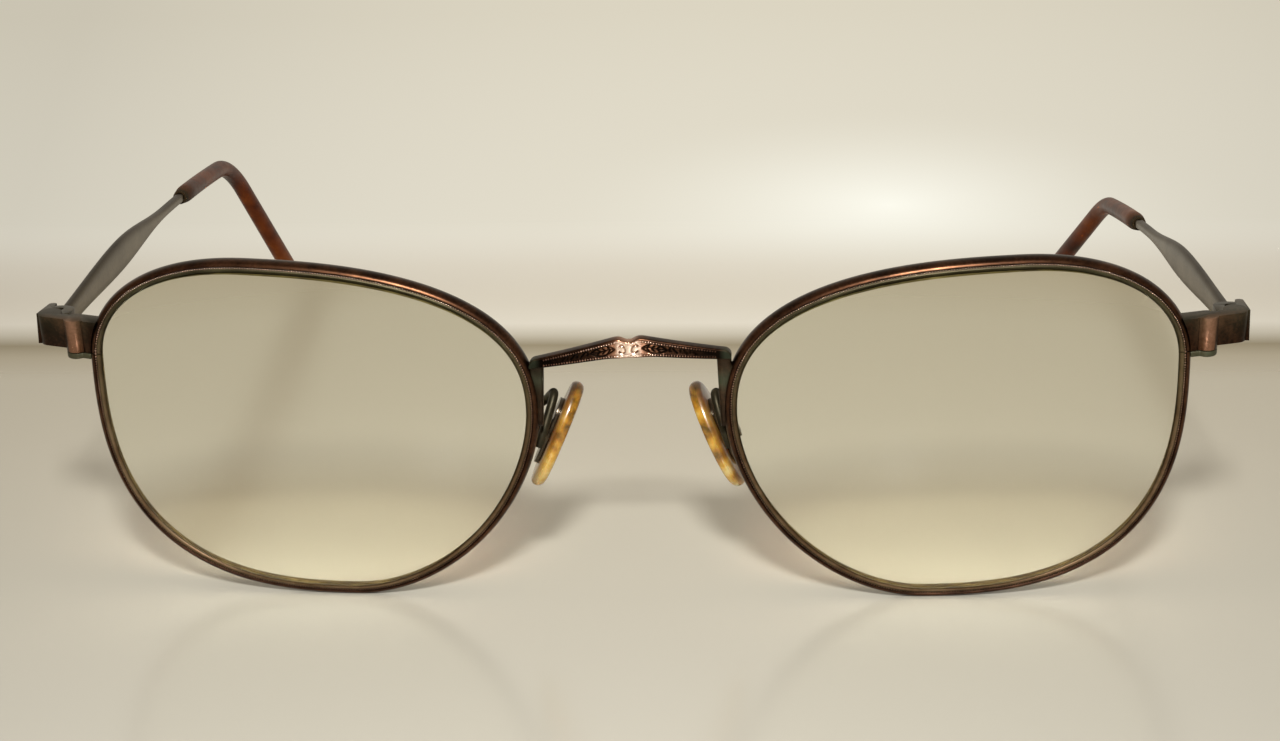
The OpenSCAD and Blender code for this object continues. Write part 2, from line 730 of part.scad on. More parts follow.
module rim_screw() {
    low = -rim_gap / 2 - lower_block_t;
    color(steel) lean_front() rim_screw_at() difference() {
        union() {
            translate([0, 0, low]) cylinder(h = lower_block_t + 2.4, r = rim_screw_r - 0.02);
            translate([0, 0, low]) cylinder(h = rim_head_h, r = rim_head_r);
        }
        translate([-past, -driver_slot / 2, low - past]) cube([2 * past, driver_slot, past + 0.2]);
    }
}

module hinge_screw() {
    color(steel) hinge_at() difference() {
        union() {
            translate([0, 0, -ear_h / 2]) cylinder(h = ear_h - 0.3, r = hinge_screw_r - 0.02);
            translate([0, 0, -ear_h / 2]) cylinder(h = screw_head_h, r = screw_head_r);
        }
        translate([-past, -driver_slot / 2, -ear_h / 2 - past])
            cube([2 * past, driver_slot, past + 0.25]);
    }
}

// Eye plate brazed to the front end of the temple
module hinge_eye() {
    color(worn_metal) hinge_at() difference() {
        union() {
            cylinder(h = eye_plate_t, r = temple_eye_r, center = true);
            translate([-temple_t / 2, 0, -eye_plate_t / 2]) cube([temple_t, neck_l, eye_plate_t]);
        }
        cylinder(h = eye_plate_t + 2 * past, r = hinge_screw_r + hinge_clear, center = true);
    }
}

module temple(path) {
    color(worn_metal) skin(temple_rings(path));
}

// The tip is a sleeve: its outside, its round end and the bore for the core wire
module temple_tip(path) {
    color(tip_brown)
        skin(concat(reversed(tip_bore(path)), tip_outer(path), tip_end_rings(path)));
}

module pad_place() {
    translate(pad_middle) rotate([0, 0, -pad_splay]) rotate([0, -pad_lean, 0]) children();
}

module pad_arm() {
    color(dark_metal)
        skin([for (i = [0 : len(arm_curve) - 1]) wire_ring(arm_curve[i], arm_aim(i), arm_r)]);
}

module pad_box() {
    color(steel) pad_place() difference() {
        translate([box_open_x, -box_w / 2, -box_l / 2])
            cube([box_floor_x + box_floor_t - box_open_x, box_w, box_l]);
        translate([box_open_x - past, -tab_t / 2 - pad_clear, -box_l / 2 - past])
            cube([box_floor_x - box_open_x + past, tab_t + 2 * pad_clear, box_l + 2 * past]);
        translate([pad_screw_x, 0, 0]) rotate([90, 0, 0])
            cylinder(h = box_w + 2 * past, r = pad_screw_r + 0.02, center = true);
    }
}

module pad_screw() {
    head_r = 0.65;
    head_h = 0.35;
    color(steel) pad_place() translate([pad_screw_x, 0, 0]) rotate([90, 0, 0]) difference() {
        union() {
            cylinder(h = box_w, r = pad_screw_r, center = true);
            translate([0, 0, box_w / 2]) cylinder(h = head_h, r = head_r);
        }
        translate([-past, -0.1, box_w / 2 + head_h - 0.18]) cube([2 * past, 0.2, past]);
    }
}

// Metal plate moulded to the back of the pad, with the tab that the screw holds
module pad_plate() {
    plate_l = pad_l * 0.62;
    plate_w = pad_w * 0.5;
    color(steel) pad_place() difference() {
        union() {
            translate([pad_t / 2, 0, 0]) rotate([0, 90, 0]) linear_extrude(plate_t) {
                square([plate_l - plate_w, plate_w], center = true);
                for (s = [-1, 1]) translate([s * (plate_l - plate_w) / 2, 0]) circle(plate_w / 2);
            }
            translate([plate_x - 0.05, -tab_t / 2, -tab_r]) cube([screw_rise + 0.05, tab_t, 2 * tab_r]);
            translate([pad_screw_x, 0, 0]) rotate([90, 0, 0]) cylinder(h = tab_t, r = tab_r, center = true);
        }
        translate([pad_screw_x, 0, 0]) rotate([90, 0, 0])
            cylinder(h = tab_t + 2 * past, r = pad_screw_r + pad_clear, center = true);
    }
}

module nose_pad() {
    color(honey) pad_place() skin([
        for (s = reversed(pad_sections)) [
            for (i = [0 : pad_steps - 1])
                let (p = pad_edge(360 * i / pad_steps, s[1]))
                [s[0] * pad_t, p.x, p.y]
        ]
    ]);
}

on_left() rim();  // left_rim
on_right() rim();  // right_rim
on_left() lens();  // left_lens
on_right() lens();  // right_lens
on_right() bridge();
on_left() endpiece();  // left_endpiece
on_right() endpiece();  // right_endpiece
on_left() closing_block();  // left_closing_block
on_right() closing_block();  // right_closing_block
on_left() rim_screw();  // left_rim_screw
on_right() rim_screw();  // right_rim_screw
on_left() hinge_screw();  // left_hinge_screw
on_right() hinge_screw();  // right_hinge_screw
on_left() hinge_eye();  // left_hinge_eye
on_right() hinge_eye();  // right_hinge_eye
on_left() temple(left_path);  // left_temple
on_right() temple(right_path);  // right_temple
on_left() temple_tip(left_path);  // left_temple_tip
on_right() temple_tip(right_path);  // right_temple_tip
on_left() pad_arm();  // left_pad_arm
on_right() pad_arm();  // right_pad_arm
on_left() pad_box();  // left_pad_box
on_right() pad_box();  // right_pad_box
on_left() pad_screw();  // left_pad_screw
on_right() pad_screw();  // right_pad_screw
on_left() pad_plate();  // left_pad_plate
on_right() pad_plate();  // right_pad_plate
on_left() nose_pad();  // left_nose_pad
on_right() nose_pad();  // right_nose_pad
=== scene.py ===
import json
import math
import bmesh
import bpy
import numpy as np
from mathutils import Matrix, Vector


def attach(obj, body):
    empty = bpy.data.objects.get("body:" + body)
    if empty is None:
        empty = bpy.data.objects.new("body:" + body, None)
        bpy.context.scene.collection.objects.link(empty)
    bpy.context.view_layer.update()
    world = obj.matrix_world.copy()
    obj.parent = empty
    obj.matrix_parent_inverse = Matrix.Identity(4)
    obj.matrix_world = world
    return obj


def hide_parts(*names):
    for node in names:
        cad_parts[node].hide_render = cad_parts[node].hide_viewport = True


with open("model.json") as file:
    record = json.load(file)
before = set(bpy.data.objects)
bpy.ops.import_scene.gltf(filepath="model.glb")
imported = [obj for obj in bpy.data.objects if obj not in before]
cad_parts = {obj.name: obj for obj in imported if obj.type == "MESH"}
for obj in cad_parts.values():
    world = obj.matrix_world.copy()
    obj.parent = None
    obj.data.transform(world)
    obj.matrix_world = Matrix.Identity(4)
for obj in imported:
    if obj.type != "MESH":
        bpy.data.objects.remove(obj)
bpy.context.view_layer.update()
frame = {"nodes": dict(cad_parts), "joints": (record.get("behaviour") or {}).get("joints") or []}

mm = 0.001
joints = {joint["name"]: joint for joint in frame["joints"]}
sides = {"left": -1, "right": 1}


# Helpers for nodes and colours
def srgb(hexCode):
    parts = [int(hexCode[i:i + 2], 16) / 255 for i in (1, 3, 5)]
    return tuple(c / 12.92 if c <= 0.04045 else ((c + 0.055) / 1.055) ** 2.4 for c in parts) + (1.0,)


# Inputs are plain values or outputs of other nodes, and stops are a ramp's places and colours.
# It gives back the new node's outputs
def addNode(tree, kind, inputs=None, stops=(), **settings):
    node = tree.nodes.new(kind)
    for key, value in settings.items():
        setattr(node, key, value)
    for key, value in (inputs or {}).items():
        if isinstance(value, bpy.types.NodeSocket):
            tree.links.new(value, node.inputs[key])
        else:
            node.inputs[key].default_value = value
    if stops:
        elements = node.color_ramp.elements
        while len(elements) < len(stops):
            elements.new(0.5)
        for element, (place, colour) in zip(elements, stops):
            element.position = place
            element.color = srgb(colour)
    return node.outputs


def newMaterial(name):
    material = bpy.data.materials.new(name)
    material.use_nodes = True
    material.node_tree.nodes.clear()
    return material, material.node_tree


# Antiqued copper plate: dipped dark, then rubbed, so high places show red copper and bright metal,
# and the recesses keep the dark oxide with a little green
def antiqueCopper(name, look):
    material, tree = newMaterial(name)
    place = addNode(tree, "ShaderNodeTexCoord")["Object"]
    wear, patina = [addNode(tree, "ShaderNodeAttribute", attribute_name=key)["Fac"]
                    for key in ("wear", "patina")]
    cloud, grain = [
        addNode(tree, "ShaderNodeTexNoise", {"Vector": place, "Scale": 1 / (look[pattern + "Mm"] * mm),
                                             "Detail": look[pattern + "Detail"],
                                             "Roughness": look["breakUp"]})["Fac"]
        for pattern in ("patch", "grain")]
    # The rubbing each piece carries holds painted shade and painted highlight on some pieces as well
    # Noise is a half on average, so half of each share comes off again
    rubbed = addNode(tree, "ShaderNodeMath", {0: cloud, 1: look["patchiness"], 2: wear}, operation="MULTIPLY_ADD")
    rubbed = addNode(tree, "ShaderNodeMath", {0: grain, 1: look["graininess"], 2: rubbed[0]},
                     operation="MULTIPLY_ADD")
    rubbed = addNode(tree, "ShaderNodeMath", {0: rubbed[0], 1: (look["patchiness"] + look["graininess"]) / 2},
                     operation="SUBTRACT", use_clamp=True)[0]
    metal = addNode(tree, "ShaderNodeValToRGB", {"Fac": rubbed}, look["stops"])["Color"]
    patches = addNode(tree, "ShaderNodeMath", {0: cloud, 1: look["greenShare"]}, operation="MULTIPLY")[0]
    green = addNode(tree, "ShaderNodeMath", {0: patina, 1: patches}, operation="MULTIPLY", use_clamp=True)[0]
    colour = addNode(tree, "ShaderNodeMix", {0: green, 6: metal, 7: srgb(look["verdigris"])},
                     data_type="RGBA")[2]
    shine = addNode(tree, "ShaderNodeMath", {0: rubbed, 1: -look["polish"], 2: look["roughest"]},
                    operation="MULTIPLY_ADD")[0]
    rough = addNode(tree, "ShaderNodeMath", {0: green, 1: look["greenDull"], 2: shine},
                    operation="MULTIPLY_ADD", use_clamp=True)[0]
    metallic = addNode(tree, "ShaderNodeMath", {0: green, 1: -look["greenFilm"], 2: 1.0},
                       operation="MULTIPLY_ADD", use_clamp=True)[0]
    pits = addNode(tree, "ShaderNodeBump", {"Strength": look["pitting"], "Distance": look["pitMm"] * mm,
                                            "Height": grain})[0]
    plate = addNode(tree, "ShaderNodeBsdfPrincipled", {"Base Color": colour, "Roughness": rough,
                                                       "Metallic": metallic, "Normal": pits})
    addNode(tree, "ShaderNodeOutputMaterial", {"Surface": plate[0]})
    return material


copperLook = dict(patchMm=3.0, patchDetail=4.0, patchiness=0.45, grainMm=0.35, grainDetail=2.0, graininess=0.25,
                  breakUp=0.55, roughest=0.4, polish=0.2, verdigris="#39442f", greenShare=1.5, greenDull=0.25,
                  greenFilm=0.8, pitting=0.25, pitMm=0.02, stops=[
                      (0.0, "#110b07"), (0.24, "#2e1e15"), (0.48, "#62422f"), (0.76, "#a97c64"), (1.0, "#f6dccb")])
frameCopper = antiqueCopper("frameCopper", copperLook)
# Beads stand proud and are rubbed first, so they glint pink along the dark plate
beadCopper = antiqueCopper("beadCopper", dict(copperLook, stops=[
    (0.0, "#4a3428"), (0.4, "#8f6a58"), (0.7, "#d0a893"), (1.0, "#ffe4d4")]))
# Old wax and plate leave an olive film on the inner band of the rims
rimBronze = antiqueCopper("rimBronze", dict(copperLook, verdigris="#4c4a2c"))
# The same plate on the temples is rubbed away to a grey brown metal
templeMetal = antiqueCopper("templeMetal", dict(copperLook, patchMm=6.0, patchiness=0.4, roughest=0.45, stops=[
    (0.0, "#281d10"), (0.4, "#47391f"), (0.75, "#665635"), (1.0, "#8f7e58")]))
# Darkened stainless screws, boxes and pad plates, turned and pressed: nearly black, with brown edges
darkSteel = antiqueCopper("darkSteel", dict(copperLook, patchMm=1.2, patchiness=0.7, stops=[
    (0.0, "#1b1712"), (0.5, "#332c24"), (1.0, "#776c5c")]))


# Tortoise cellulose acetate: clear red brown with darker clouds, tumbled to a gloss,
# stained green by the metal at its mouth
def tortoiseAcetate(name, look):
    material, tree = newMaterial(name)
    place = addNode(tree, "ShaderNodeTexCoord")["Object"]
    drawn = addNode(tree, "ShaderNodeMapping", {"Vector": place, "Scale": look["drawn"]})[0]
    clouds, haze = [
        addNode(tree, "ShaderNodeTexNoise", {"Vector": vector, "Scale": 1 / (look[pattern + "Mm"] * mm),
                                             "Detail": look[pattern + "Detail"],
                                             "Roughness": look[pattern + "BreakUp"]})["Fac"]
        for pattern, vector in (("cloud", drawn), ("haze", place))]
    stain, along = [addNode(tree, "ShaderNodeAttribute", attribute_name=key)["Fac"]
                    for key in ("patina", "wear")]
    clouds = addNode(tree, "ShaderNodeMath", {0: along, 1: -look["drift"], 2: clouds},
                     operation="MULTIPLY_ADD")[0]
    brown = addNode(tree, "ShaderNodeValToRGB", {"Fac": clouds}, look["stops"])["Color"]
    colour = addNode(tree, "ShaderNodeMix", {0: stain, 6: brown, 7: srgb(look["stain"])}, data_type="RGBA")[2]
    rough = addNode(tree, "ShaderNodeMath", {0: haze, 1: look["haze"], 2: look["roughest"]},
                    operation="MULTIPLY_ADD")[0]
    rough = addNode(tree, "ShaderNodeMath", {0: stain, 1: look["stainDull"], 2: rough},
                    operation="MULTIPLY_ADD", use_clamp=True)[0]
    acetate = addNode(tree, "ShaderNodeBsdfPrincipled", {
        "Base Color": colour, "Roughness": rough, "IOR": look["ior"], "Specular IOR Level": look["gloss"],
        "Transmission Weight": look["clear"], "Coat Weight": look["polish"], "Coat Roughness": look["coatRough"],
        "Subsurface Weight": look["inner"], "Subsurface Radius": look["innerColour"],
        "Subsurface Scale": look["innerMm"] * mm})
    addNode(tree, "ShaderNodeOutputMaterial", {"Surface": acetate[0]})
    return material


acetateLook = dict(drawn=(1.0, 0.45, 1.0), cloudDetail=3.0, cloudBreakUp=0.6, hazeMm=0.8, hazeDetail=2.0,
                   hazeBreakUp=0.55, haze=0.16, stainDull=0.4, ior=1.47, coatRough=0.08,
                   innerColour=(0.6, 0.2, 0.08), innerMm=2.0)
tipAcetate = tortoiseAcetate("tipAcetate", dict(
    acetateLook, cloudMm=7.0, drift=0.0, clear=0.0, inner=0.1, polish=0.0, gloss=0.12, roughest=0.3,
    stain="#0d1a0c", stops=[(0.30, "#260e05"), (0.45, "#461c0a"), (0.6, "#653010"), (0.75, "#864c1a")]))
# Aged nose pads: honey acetate, cloudy, darker and olive towards the top
padAcetate = tortoiseAcetate("padAcetate", dict(
    acetateLook, cloudMm=2.2, drift=0.34, clear=0.35, inner=0.3, polish=0.8, gloss=0.5, roughest=0.1,
    stain="#5a2a0c", stops=[
        (0.0, "#3d3210"), (0.14, "#725314"), (0.27, "#bc8626"), (0.4, "#e8b640"), (0.56, "#fae396")]))


# Cast optical plastic with a faint yellow tint and a coating that takes most of the reflections away.
# Lamps pass through it, so that the table isn't left black, but a plus lens draws light inwards and
# leaves a brown ring of shade inside its rim
def lensPlastic(name, look):
    material, tree = newMaterial(name)
    glass = addNode(tree, "ShaderNodeBsdfPrincipled", {
        "Base Color": srgb(look["tint"]), "Roughness": 0.0, "IOR": look["ior"], "Transmission Weight": 1.0,
        "Specular Tint": srgb(look["coating"])})[0]
    edge = addNode(tree, "ShaderNodeAttribute", attribute_name="edge")["Fac"]
    ring = addNode(tree, "ShaderNodeMapRange", {0: edge, 1: look["ringFrom"], 2: look["ringTo"]},
                   interpolation_type="SMOOTHSTEP")[0]
    shade = addNode(tree, "ShaderNodeMix", {0: ring, 6: srgb(look["shade"]), 7: srgb(look["ringShade"])},
                    data_type="RGBA")[2]
    clear = addNode(tree, "ShaderNodeBsdfTransparent", {"Color": shade})[0]
    shadowRay = addNode(tree, "ShaderNodeLightPath")["Is Shadow Ray"]
    mix = addNode(tree, "ShaderNodeMixShader", {0: shadowRay, 1: glass, 2: clear})
    addNode(tree, "ShaderNodeOutputMaterial", {"Surface": mix[0]})
    return material


lensClear = lensPlastic("lensClear", dict(tint="#f7f7ef", shade="#f4efe2", ringShade="#84583a", ringFrom=0.5,
                                          ringTo=0.74, ior=1.5, coating="#505050"))


# The bevel is ground and left dull, and takes up the olive grime of the groove
def groundEdge(name, look):
    material, tree = newMaterial(name)
    place = addNode(tree, "ShaderNodeTexCoord")["Object"]
    grime = addNode(tree, "ShaderNodeTexNoise", {"Vector": place, "Scale": 1 / (look["grimeMm"] * mm),
                                                 "Detail": look["grimeDetail"],
                                                 "Roughness": look["breakUp"]})["Fac"]
    colour = addNode(tree, "ShaderNodeValToRGB", {"Fac": grime}, look["stops"])["Color"]
    ground = addNode(tree, "ShaderNodeBsdfPrincipled", {"Base Color": colour, "Roughness": look["roughness"],
                                                        "Specular IOR Level": look["gloss"]})
    addNode(tree, "ShaderNodeOutputMaterial", {"Surface": ground[0]})
    return material


lensEdge = groundEdge("groundLensEdge", dict(
    grimeMm=2.5, grimeDetail=3.0, breakUp=0.55, roughness=0.6, gloss=0.2, stops=[
        (0.3, "#3c3420"), (0.6, "#6b6038"), (0.8, "#8b7f50")]))
print("materials ready")


# Mesh helpers. Shapes are worked out in millimetres and turned to metres once
def signedVolume(points, faces):
    total = 0.0
    for face in faces:
        a = points[face[0]]
        for i in range(1, len(face) - 1):
            total += float(np.dot(a, np.cross(points[face[i]], points[face[i + 1]])))
    return total / 6


def giveValues(mesh, key, values):
    mesh.attributes.new(key, "FLOAT", "POINT").data.foreach_set("value", np.asarray(values, np.float32).ravel())


def showObject(name, data):
    shown = bpy.data.objects.new(name, data)
    bpy.context.scene.collection.objects.link(shown)
    return shown


def makeMesh(name, points, faces, material, wear=None, patina=None, sharpAngle=50):
    points = np.asarray(points, float)
    if signedVolume(points, faces) < 0:
        faces = [list(reversed(face)) for face in faces]
    mesh = bpy.data.meshes.new(name)
    mesh.from_pydata((points * mm).tolist(), [], faces)
    mesh.validate()
    mesh.shade_smooth()
    mesh.set_sharp_from_angle(angle=math.radians(sharpAngle))
    for key, values in (("wear", wear), ("patina", patina)):
        if values is not None:
            giveValues(mesh, key, values)
    mesh.materials.append(material)
    return showObject(name, mesh)


# What a modifier makes becomes the piece's own plain mesh
def applied(piece, modifier):
    bpy.context.view_layer.update()
    mesh = bpy.data.meshes.new_from_object(piece.evaluated_get(bpy.context.evaluated_depsgraph_get()))
    piece.modifiers.remove(modifier)
    piece.data = mesh
    return mesh


# Faces of a skin over a row of rings, closed round each ring and at both ends
def ringFaces(count, sidesCount, closeEnds=True):
    faces = []
    for i in range(count - 1):
        for j in range(sidesCount):
            a, b = i * sidesCount + j, i * sidesCount + (j + 1) % sidesCount
            faces.append([a, b, b + sidesCount, a + sidesCount])
    if closeEnds:
        faces.append(list(range(sidesCount))[::-1])
        faces.append([(count - 1) * sidesCount + j for j in range(sidesCount)])
    return faces


def makeSkin(name, rings, material, wear=None, patina=None, sharpAngle=50):
    return makeMesh(name, rings.reshape(-1, 3), ringFaces(*rings.shape[:2]), material, wear, patina, sharpAngle)


def addPiece(piece, body, slot, *nodes):
    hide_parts(*nodes)
    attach(piece, body)


def jointAt(name):
    return np.array(joints[name]["pos_m"]) / mm


# The front: outline of the lens openings, the same rule on both sides
front = dict(width=47.8, height=37.8, gap=23.2, sideRise=7.4, noseRise=2.9, topShift=6.0, lowShift=3.6,
             fullness=(2.15, 2.35, 1.8, 2.8), meniscus=95.0, wrap=4.0, lean=9.5)
lensX = (front["width"] + front["gap"]) / 2


def lipCurve(angles):
    a = np.mod(np.asarray(angles, float), 360.0)
    quarter = np.minimum(np.floor(a / 90).astype(int), 3)
    t = np.radians(np.select([quarter == 0, quarter == 1, quarter == 2], [a, 180 - a, a - 180], 360 - a))
    full = np.array(front["fullness"])[quarter]
    side = np.where((quarter == 0) | (quarter == 3), 1.0, -1.0)
    up = np.where(quarter < 2, 1.0, -1.0)
    midU = np.where(up > 0, front["topShift"], -front["lowShift"])
    midV = np.where(side > 0, front["sideRise"], front["noseRise"])
    halfU = np.abs(side * front["width"] / 2 - midU)
    halfV = np.abs(up * front["height"] / 2 - midV)
    c, s = np.clip(np.cos(t), 0, None), np.clip(np.sin(t), 0, None)
    points = np.stack([midU + side * halfU * c ** (2 / full), midV + up * halfV * s ** (2 / full)], -1)
    normals = np.stack([side * c ** (2 - 2 / full) / halfU, up * s ** (2 - 2 / full) / halfV], -1)
    return points, normals / np.linalg.norm(normals, axis=-1, keepdims=True)


# Angles that are evenly spaced along the lip
def evenAngles(start, end, count):
    fine = np.linspace(start, end, 6000)
    points, _ = lipCurve(fine)
    travelled = np.concatenate([[0], np.cumsum(np.linalg.norm(np.diff(points, axis=0), axis=1))])
    return np.interp(np.linspace(0, travelled[-1], count), travelled, fine)


def sag(radius, points):
    return radius - np.sqrt(radius ** 2 - points[..., 0] ** 2 - points[..., 1] ** 2)


# Turned round the face, then leaned back
def seated(points, depth):
    w = math.radians(front["wrap"])
    u, v = points[..., 0], points[..., 1]
    return np.stack([lensX + u * math.cos(w) - depth * math.sin(w), u * math.sin(w) + depth * math.cos(w), v], -1)


def leaned(points):
    b = math.radians(front["lean"])
    x, y, z = points[..., 0], points[..., 1], points[..., 2]
    return np.stack([x, y * math.cos(b) - z * math.sin(b), y * math.sin(b) + z * math.cos(b)], -1)


# Nose pads have a frame of their own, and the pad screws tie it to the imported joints
pad = dict(length=13.0, width=7.6, thick=1.6, inset=1.3, back=8.0, drop=1.8, lean=24.0, splay=4.0,
           plate=0.5, screwRise=1.15, rimWall=1.35, steps=96, egg=0.10)
padMiddle = np.array([lensX - front["width"] / 2 - pad["rimWall"] - pad["inset"], pad["back"], -pad["drop"]])


def padPoints(points):
    points = np.asarray(points, float)
    a, b = math.radians(pad["lean"]), math.radians(pad["splay"])
    x = points[..., 0] * math.cos(a) - points[..., 2] * math.sin(a)
    z = points[..., 0] * math.sin(a) + points[..., 2] * math.cos(a)
    y = points[..., 1]
    return padMiddle + np.stack([x * math.cos(b) + y * math.sin(b), -x * math.sin(b) + y * math.cos(b), z], -1)


padScrewX = pad["thick"] / 2 + pad["plate"] + pad["screwRise"]
screwHere = padPoints([padScrewX, 0, 0])
screwAt = {side: jointAt(side + "_pad_rock") for side in sides}
middleX = (screwAt["left"][0] + screwAt["right"][0]) / 2
shift = np.array([middleX, screwAt["right"][1] - screwHere[1], screwAt["right"][2] - screwHere[2]])


def placed(points, side):
    points = np.array(points, float)
    points[..., 0] *= sides[side]
    return points + shift


# Rims: a rounded outer band, a row of beads in a groove, and a flat inner band. Within bandOut of the lip the band
# is painted darker towards the top, a painted shade, and within filmOut it has the olive film
rim = dict(steps=360, cutHeight=8.29, cutGap=0.12, bandOut=0.5, bandTopShade=0.75, bandFrom=0.3, filmOut=0.6, film=0.62,
           beadOut=0.62, beadDepth=-0.9, beadPitch=0.29, beadSize=0.095, beadBrightFrom=8, beadBrightOver=34,
           beadLeast=0.15, beadMost=0.85, sharpAngle=38)
# Round the section: distance out from the lip, depth, and how much it is rubbed
rimSection = np.array([
    (0.5, 0.0, 0.0), (0.0, 0.5, 0.1), (0.0, 0.85, 0.2), (0.04, 0.95, 0.35), (0.15, 1.0, 0.4), (0.75, 1.0, 0.35),
    (1.0, 0.93, 0.35), (1.18, 0.75, 0.3), (1.29, 0.45, 0.22), (1.35, 0.05, 0.24), (1.33, -0.25, 0.28),
    (1.26, -0.55, 0.31), (1.14, -0.78, 0.34), (0.98, -0.93, 0.37), (0.84, -0.99, 0.34), (0.74, -0.96, 0.15),
    (0.68, -0.88, 0.0), (0.56, -0.88, 0.0), (0.5, -0.96, 0.3), (0.42, -1.0, 0.5), (0.28, -0.97, 0.54),
    (0.15, -0.9, 0.5), (0.05, -0.78, 0.4), (0.0, -0.62, 0.25), (0.0, -0.5, 0.1)])


def cutAngle(height):
    share = (height - front["sideRise"]) / (front["height"] / 2 - front["sideRise"])
    return math.degrees(math.asin(share ** (front["fullness"][0] / 2)))


def rimPoints(angles, out, depth):
    lip, normal = lipCurve(angles)
    return leaned(seated(lip + normal * out, sag(front["meniscus"], lip) + depth))


rimAngles = evenAngles(cutAngle(rim["cutHeight"] + rim["cutGap"] / 2),
                       360 + cutAngle(rim["cutHeight"] - rim["cutGap"] / 2), rim["steps"])
rings = np.stack([rimPoints(rimAngles, out, depth) for out, depth, _ in rimSection], 1)
# Painted shade: near the lip the inner band is darker towards the top
upper = np.clip(np.sin(np.radians(rimAngles)) + rim["bandFrom"], 0, 1)[:, None]
wear = rimSection[:, 2] * (1 - rim["bandTopShade"] * upper * (rimSection[:, 0] < rim["bandOut"]))
patina = np.tile(np.where(rimSection[:, 0] < rim["filmOut"], rim["film"], 0.0), len(rimAngles))
for side in sides:
    piece = makeSkin(side + "Rim", placed(rings, side), rimBronze, wear, patina, rim["sharpAngle"])
    addPiece(piece, "front", "frame_metal", side + "_rim")
print("rims ready")

# Rows of beads along a line, as a milgrain wheel leaves them, some worn smaller than others
bead = dict(seed=7, smallest=0.86, largest=1.08)


def beadTree():
    tree = bpy.data.node_groups.new("beadRow", "GeometryNodeTree")
    sockets = {}
    for label, direction, kind, value in (
            ("Geometry", "INPUT", "NodeSocketGeometry", None), ("Pitch", "INPUT", "NodeSocketFloat", 0.3 * mm),
            ("Bead radius", "INPUT", "NodeSocketFloat", 0.1 * mm), ("Metal", "INPUT", "NodeSocketMaterial", None),
            ("Geometry", "OUTPUT", "NodeSocketGeometry", None)):
        item = tree.interface.new_socket(name=label, in_out=direction, socket_type=kind)
        if value is not None:
            item.default_value = value
        if direction == "INPUT":
            sockets[label] = item.identifier
    start = addNode(tree, "NodeGroupInput")
    curve = addNode(tree, "GeometryNodeMeshToCurve", {"Mesh": start["Geometry"]})
    points = addNode(tree, "GeometryNodeResampleCurve", {"Curve": curve[0], "Length": start["Pitch"]},
                     mode="LENGTH")
    ball = addNode(tree, "GeometryNodeMeshIcoSphere", {"Subdivisions": 1, "Radius": start["Bead radius"]})
    rounded = addNode(tree, "GeometryNodeSetShadeSmooth", {"Geometry": ball["Mesh"]})
    worn = addNode(tree, "FunctionNodeRandomValue", {"Seed": bead["seed"], 2: bead["smallest"], 3: bead["largest"]},
                   data_type="FLOAT")
    row = addNode(tree, "GeometryNodeInstanceOnPoints",
                  {"Points": points[0], "Instance": rounded[0], "Scale": worn[1]})
    solid = addNode(tree, "GeometryNodeRealizeInstances", {"Geometry": row[0]})
    metal = addNode(tree, "GeometryNodeSetMaterial", {"Geometry": solid[0], "Material": start["Metal"]})
    addNode(tree, "NodeGroupOutput", {0: metal[0]})
    return tree, sockets


beadRow, beadSockets = beadTree()


# The last argument gives each bead point its share of rubbing, and on the rims a painted highlight too
def makeBeads(name, lines, pitch, radius, body, wearAndLightAt):
    points, edges = [], []
    for line in lines:
        edges += [(len(points) + i, len(points) + i + 1) for i in range(len(line) - 1)]
        points += (np.asarray(line) * mm).tolist()
    path = bpy.data.meshes.new(name + "Path")
    path.from_pydata(points, edges, [])
    row = showObject(name, path)
    modifier = row.modifiers.new("beads", "NODES")
    modifier.node_group = beadRow
    modifier[beadSockets["Pitch"]] = pitch * mm
    modifier[beadSockets["Bead radius"]] = radius * mm
    modifier[beadSockets["Metal"]] = beadCopper
    mesh = applied(row, modifier)
    giveValues(mesh, "wear", wearAndLightAt(np.array([v.co for v in mesh.vertices]) / mm))
    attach(row, body)


# Rim beads are brighter the higher they sit, a painted highlight along the top of each rim
for side in sides:
    line = placed(rimPoints(rimAngles, rim["beadOut"], rim["beadDepth"]), side)
    makeBeads(side + "RimBeads", [line], rim["beadPitch"], rim["beadSize"], "front",
              lambda spots: np.clip((spots[:, 2] - rim["beadBrightFrom"]) / rim["beadBrightOver"],
                                    rim["beadLeast"], rim["beadMost"]))
print("bead rows ready")

# Lenses: spherical front and back, a V bevel in the groove of the rim. The optical centre lies high, so
# that the ring of shade is wide at the sides, and ringFade makes it faint at the top
lens = dict(steps=300, rings=26, centre=0.04, frontR=70.0, backR=330.0, setBack=0.02, clear=0.05, land=0.15,
            bevelHalf=0.45, bevelOut=0.45, ringFade=0.4, sharpAngle=30)
lensAngles = evenAngles(0, 360, lens["steps"] + 1)[:-1]
lip, lipNormal = lipCurve(lensAngles)
rimSag = sag(front["meniscus"], lip)
lensFront = np.min(rimSag - lens["bevelHalf"] - lens["land"] - sag(lens["frontR"], lip)) + lens["setBack"]
lensBack = np.max(rimSag + lens["bevelHalf"] + lens["land"] - sag(lens["backR"], lip))
edge = lip - lipNormal * lens["clear"]


def lensFace(share, start, radius):
    points = edge * share
    return seated(points, start + sag(radius, points))


